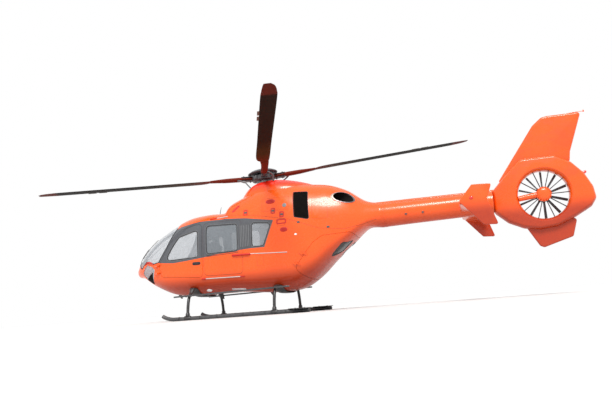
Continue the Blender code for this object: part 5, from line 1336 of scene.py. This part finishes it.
def cushion(name, low, high, crown, finish, body="airframe", tilt=0.0, channels=3, edge=0.035):
    """A crowned pad: a superellipsoid-like box whose sides pull in between its corners, with sewn channels pressed in.

    Each face's point is the box's point with u, v in -1..1, rounded by |u|^6 + |v|^6, raised by crown (1 - u^2)(1 - v^2).
    """
    low, high = np.array(low, float), np.array(high, float)
    middle, half = (low + high) / 2, (high - low) / 2
    u = np.linspace(0, 2 * math.pi, 96, endpoint=False)[None, :]
    v = np.linspace(-math.pi / 2, math.pi / 2, 49)[:, None]
    power = lambda value, n: np.sign(value) * np.abs(value) ** n
    x = power(np.cos(v), 0.22) * power(np.cos(u), 0.25)
    y = power(np.cos(v), 0.22) * power(np.sin(u), 0.25)
    z = np.broadcast_to(power(np.sin(v), 0.45), x.shape)
    pull = 1 - 0.035 * (1 - np.minimum(np.abs(x), np.abs(y)) ** 2)
    groove = sum(np.exp(-(((x - s) / 0.05) ** 2)) for s in np.linspace(-0.5, 0.5, channels)) if channels else 0.0
    top = (1 - x**2).clip(0) * (1 - y**2).clip(0)
    rise = np.where(z > 0, z * (1 + crown / half[2] * top) - 0.10 * groove * (z > 0.3), z)
    points = np.stack([x * pull * half[0], y * pull * half[1], rise * half[2]], -1).reshape(-1, 3)
    turn = np.array(Matrix.Rotation(tilt, 3, "X"))
    points = points @ turn.T + middle
    faces = grid_faces(49, 96, False, True)
    piece = mesh_piece(name, station(points), faces, finish, 0)
    return piece


def make_cabin():
    """What shows through the glass: floor, deck, panel, seats with belts, bench, controls and the roof's lining."""
    for name, finish in (("cabin_floor", "floor"), ("engine_deck", "light_trim"), ("engine_block", "steel"), ("main_gearbox", "steel")):
        frame["nodes"][name].data.materials.clear()
        frame["nodes"][name].data.materials.append(FINISH[finish].material)
    base = 0.7403
    panel_side = rounded(((-2.60, base), (-2.20, base), (-2.20, 1.10), (-2.38, 1.14), (-2.42, 1.34), (-2.58, 1.38), (-2.66, 1.20)), 0.03)
    console = mesh_piece("panel_body", *prism(panel_side + [MAST_Y, 0], -0.20, 0.20), "cabin", 30)
    cut(console, "INTERSECT", lofted_body(BODY, WALL + 0.0003, -3.12, 2.64, 64, 4))
    dress(console, "airframe", "interior", "instrument_panel")
    dials = []
    face = Matrix.Translation((0, -2.40 + MAST_Y, 1.24)) @ Matrix.Rotation(math.radians(-79), 4, "X")
    for column in range(4):
        for row in range(2):
            spot = face @ Matrix.Translation(((column - 1.5) * 0.088, (row - 0.5) * 0.082, 0.004))
            dials.append(revolve([(0.036, -0.004), (0.036, 0.004), (0.031, 0.006), (0.030, 0.002), (0.002, 0.002)], spot, 24))
    dress(joined("panel_dials", dials, "seal"), "airframe", "interior")
    hood = [tube(station([(x, -2.50 + 0.03 * math.cos(x * 6), 1.40) for x in np.linspace(-0.24, 0.24, 15)]), np.r_[0.02, np.full(13, 0.04), 0.02], 16, (2.0, 0.5))]
    dress(joined("panel_hood", hood, "cabin"), "airframe", "interior")

    for side, word in SIDES:
        x0, x1 = sorted((side * 0.09, side * 0.53))
        seat = cushion(f"seat_cushion_{word}", (x0 + 0.01, -2.00, 1.085), (x1 - 0.01, -1.56, 1.20), 0.02, "seat")
        dress(seat, "airframe", "seat", f"front_seat_{word}")
        back = cushion(f"seat_back_{word}", (x0 + 0.01, -1.475 - 0.30, 1.47), (x1 - 0.01, -1.475 + 0.30, 1.58), 0.015, "seat", tilt=math.radians(82))
        dress(back, "airframe", "seat")
        shell = [placed(block((x0, 0.0, -0.012), (x1, 0.58, 0.012), 0.006), Matrix.Translation((0, -1.445 + MAST_Y, 1.16)) @ Matrix.Rotation(math.radians(82), 4, "X")),
                 placed(block((x0 + 0.03, -1.96 + MAST_Y, base), (x1 - 0.03, -1.52 + MAST_Y, 1.085), 0.02), Matrix())]
        dress(joined(f"seat_shell_{word}", shell, "cabin"), "airframe", "seat")
        mid = (x0 + x1) / 2
        belts = []
        for dx in (-0.09, 0.09):
            path = curve_through([(mid + dx, -1.50, 1.80), (mid + dx * 0.9, -1.585, 1.62), (mid + dx * 0.7, -1.60, 1.42), (mid + dx * 0.5, -1.66, 1.25)], 24)
            belts.append(tube(station(path), 0.022, 8, (1.0, 0.09), (0, 1, 0)))
        for s in (-1, 1):
            path = curve_through([(mid + s * 0.19, -1.60, 1.20), (mid + s * 0.12, -1.72, 1.232), (mid, -1.76, 1.236)], 16)
            belts.append(tube(station(path), 0.022, 8, (0.09, 1.0), (0, 1, 0)))
        dress(joined(f"seat_belts_{word}", belts, "belt"), "airframe", "seat")
        head = cushion(f"head_rest_{word}", (mid - 0.12, -1.46, 1.80), (mid + 0.12, -1.37, 1.93), 0.01, "seat", channels=0)
        dress(head, "airframe", "seat")
        stick = curve_through([(mid, -2.10, base), (mid, -2.14, 0.95), (mid, -2.08, 1.12), (mid, -2.05, 1.26)], 24)
        levers = [tube(station(stick), np.r_[np.full(18, 0.011), np.full(6, 0.017)], 12, up=(1, 0, 0))]
        lift = curve_through([(side * 0.05 + mid * 0, -1.60, base + 0.06), (side * 0.05, -1.85, 0.98), (side * 0.05, -1.98, 1.06)], 20)
        levers.append(tube(station(lift), np.r_[np.full(13, 0.012), np.full(7, 0.019)], 12, up=(1, 0, 0)))
        for dx in (-0.09, 0.09):
            levers.append(tube(station([(mid + dx - 0.045, -2.42, 0.93), (mid + dx + 0.045, -2.42, 0.93)]), 0.016, 10))
            levers.append(tube(station([(mid + dx, -2.42, 0.93), (mid + dx, -2.46, base)]), 0.009, 8, up=(1, 0, 0)))
        dress(joined(f"flight_controls_{word}", levers, "seal"), "airframe", "interior")

    bench = cushion("bench_cushion", (-0.575, -0.31, 1.06), (0.575, 0.16, 1.21), 0.02, "seat", channels=5)
    dress(bench, "airframe", "seat", "rear_bench")
    back = cushion("bench_back", (-0.575, 0.255 - 0.32, 1.47), (0.575, 0.255 + 0.32, 1.59), 0.015, "seat", tilt=math.radians(80), channels=5)
    dress(back, "airframe", "seat")
    box = [placed(block((-0.55, -0.28 + MAST_Y, base), (0.55, 0.24 + MAST_Y, 1.065), 0.02), Matrix()),
           placed(block((-0.56, 0.0, -0.012), (0.56, 0.62, 0.012), 0.006), Matrix.Translation((0, 0.28 + MAST_Y, 1.15)) @ Matrix.Rotation(math.radians(80), 4, "X"))]
    dress(joined("bench_frame", box, "cabin"), "airframe", "seat")


def make_floor_and_light():
    """A pale floor at the skids, an even white surround and one soft key light from port and above."""
    points, faces = np.array([(x, y, -0.001) for x in (-60.0, 60.0) for y in (-60.0, 60.0)]), [[0, 1, 3, 2]]
    mesh = bpy.data.meshes.new("pale_floor")
    mesh.from_pydata(points.tolist(), [], faces)
    mesh.materials.append(plain_finish("floor_paint", (0.62, 0.62, 0.62), (0.63, 0.63, 0.63), 0.9, scale=3, bump=0.0).material)
    floor = bpy.data.objects.new("pale_floor", mesh)
    bpy.context.collection.objects.link(floor)
    world = bpy.data.worlds.new("soft_studio")
    bpy.context.scene.world = world
    world.use_nodes = True
    world.node_tree.nodes["Background"].inputs["Color"].default_value = (1.0, 1.0, 1.0, 1.0)
    world.node_tree.nodes["Background"].inputs["Strength"].default_value = 1.0
    bpy.context.scene.view_settings.view_transform = "Standard"
    light = bpy.data.lights.new("key", "SUN")
    light.angle, light.energy, light.color = math.radians(22), 3.0, (1.0, 0.98, 0.95)
    lamp = bpy.data.objects.new("key", light)
    lamp.rotation_euler = (-Vector(KEY_FROM)).to_track_quat("-Z", "Y").to_euler()
    bpy.context.collection.objects.link(lamp)


def make_camera():
    """The photograph's bearing, brought down to floor level because the machine stands on its skids."""
    lens = bpy.data.cameras.new("camera")
    lens.lens_unit, lens.sensor_fit = "FOV", "HORIZONTAL"
    lens.angle = math.radians(CAMERA_ANGLE)
    lens.clip_end = 400
    camera = bpy.data.objects.new("camera", lens)
    bearing = math.radians(CAMERA_BEARING)
    place = Vector((math.sin(bearing) * CAMERA_DISTANCE, -math.cos(bearing) * CAMERA_DISTANCE, CAMERA_HEIGHT)) + Vector((0, CAMERA_AIM[1], 0))
    camera.location = place
    look = (Vector(CAMERA_AIM) - place).to_track_quat("-Z", "Y").to_matrix().to_4x4()
    camera.rotation_euler = (look @ Matrix.Rotation(math.radians(CAMERA_ROLL), 4, "Z")).to_euler()
    bpy.context.collection.objects.link(camera)
    bpy.context.scene.camera = camera


CAMERA_BEARING = 104.9
CAMERA_DISTANCE = 14.0
CAMERA_HEIGHT = 0.12
CAMERA_ANGLE = 52.7
CAMERA_AIM = (0.0, -0.16, 2.43)
KEY_FROM = (0.62, 0.10, 0.78)
CAMERA_ROLL = -4.2

make_finishes()
FINISH["blade"] = blade_finish()
FINISH["exhaust"] = exhaust_finish()
FINISH["edge"] = plain_finish("frame_edge_grey", (0.16, 0.165, 0.175), (0.20, 0.205, 0.215), 0.45, scale=40, bump=0.05)
FINISH["tab"] = plain_finish("tab_metal", (0.10, 0.09, 0.08), (0.14, 0.12, 0.10), 0.5, 0.8, 50)
FINISH["seat"] = plain_finish("seat_cloth", (0.040, 0.042, 0.050), (0.065, 0.068, 0.078), 0.9, scale=260, bump=0.7)
make_skins()
make_trim()
make_powerplant()
make_rotor()
make_tail()
make_landing_gear()
make_cabin()
make_floor_and_light()
make_camera()
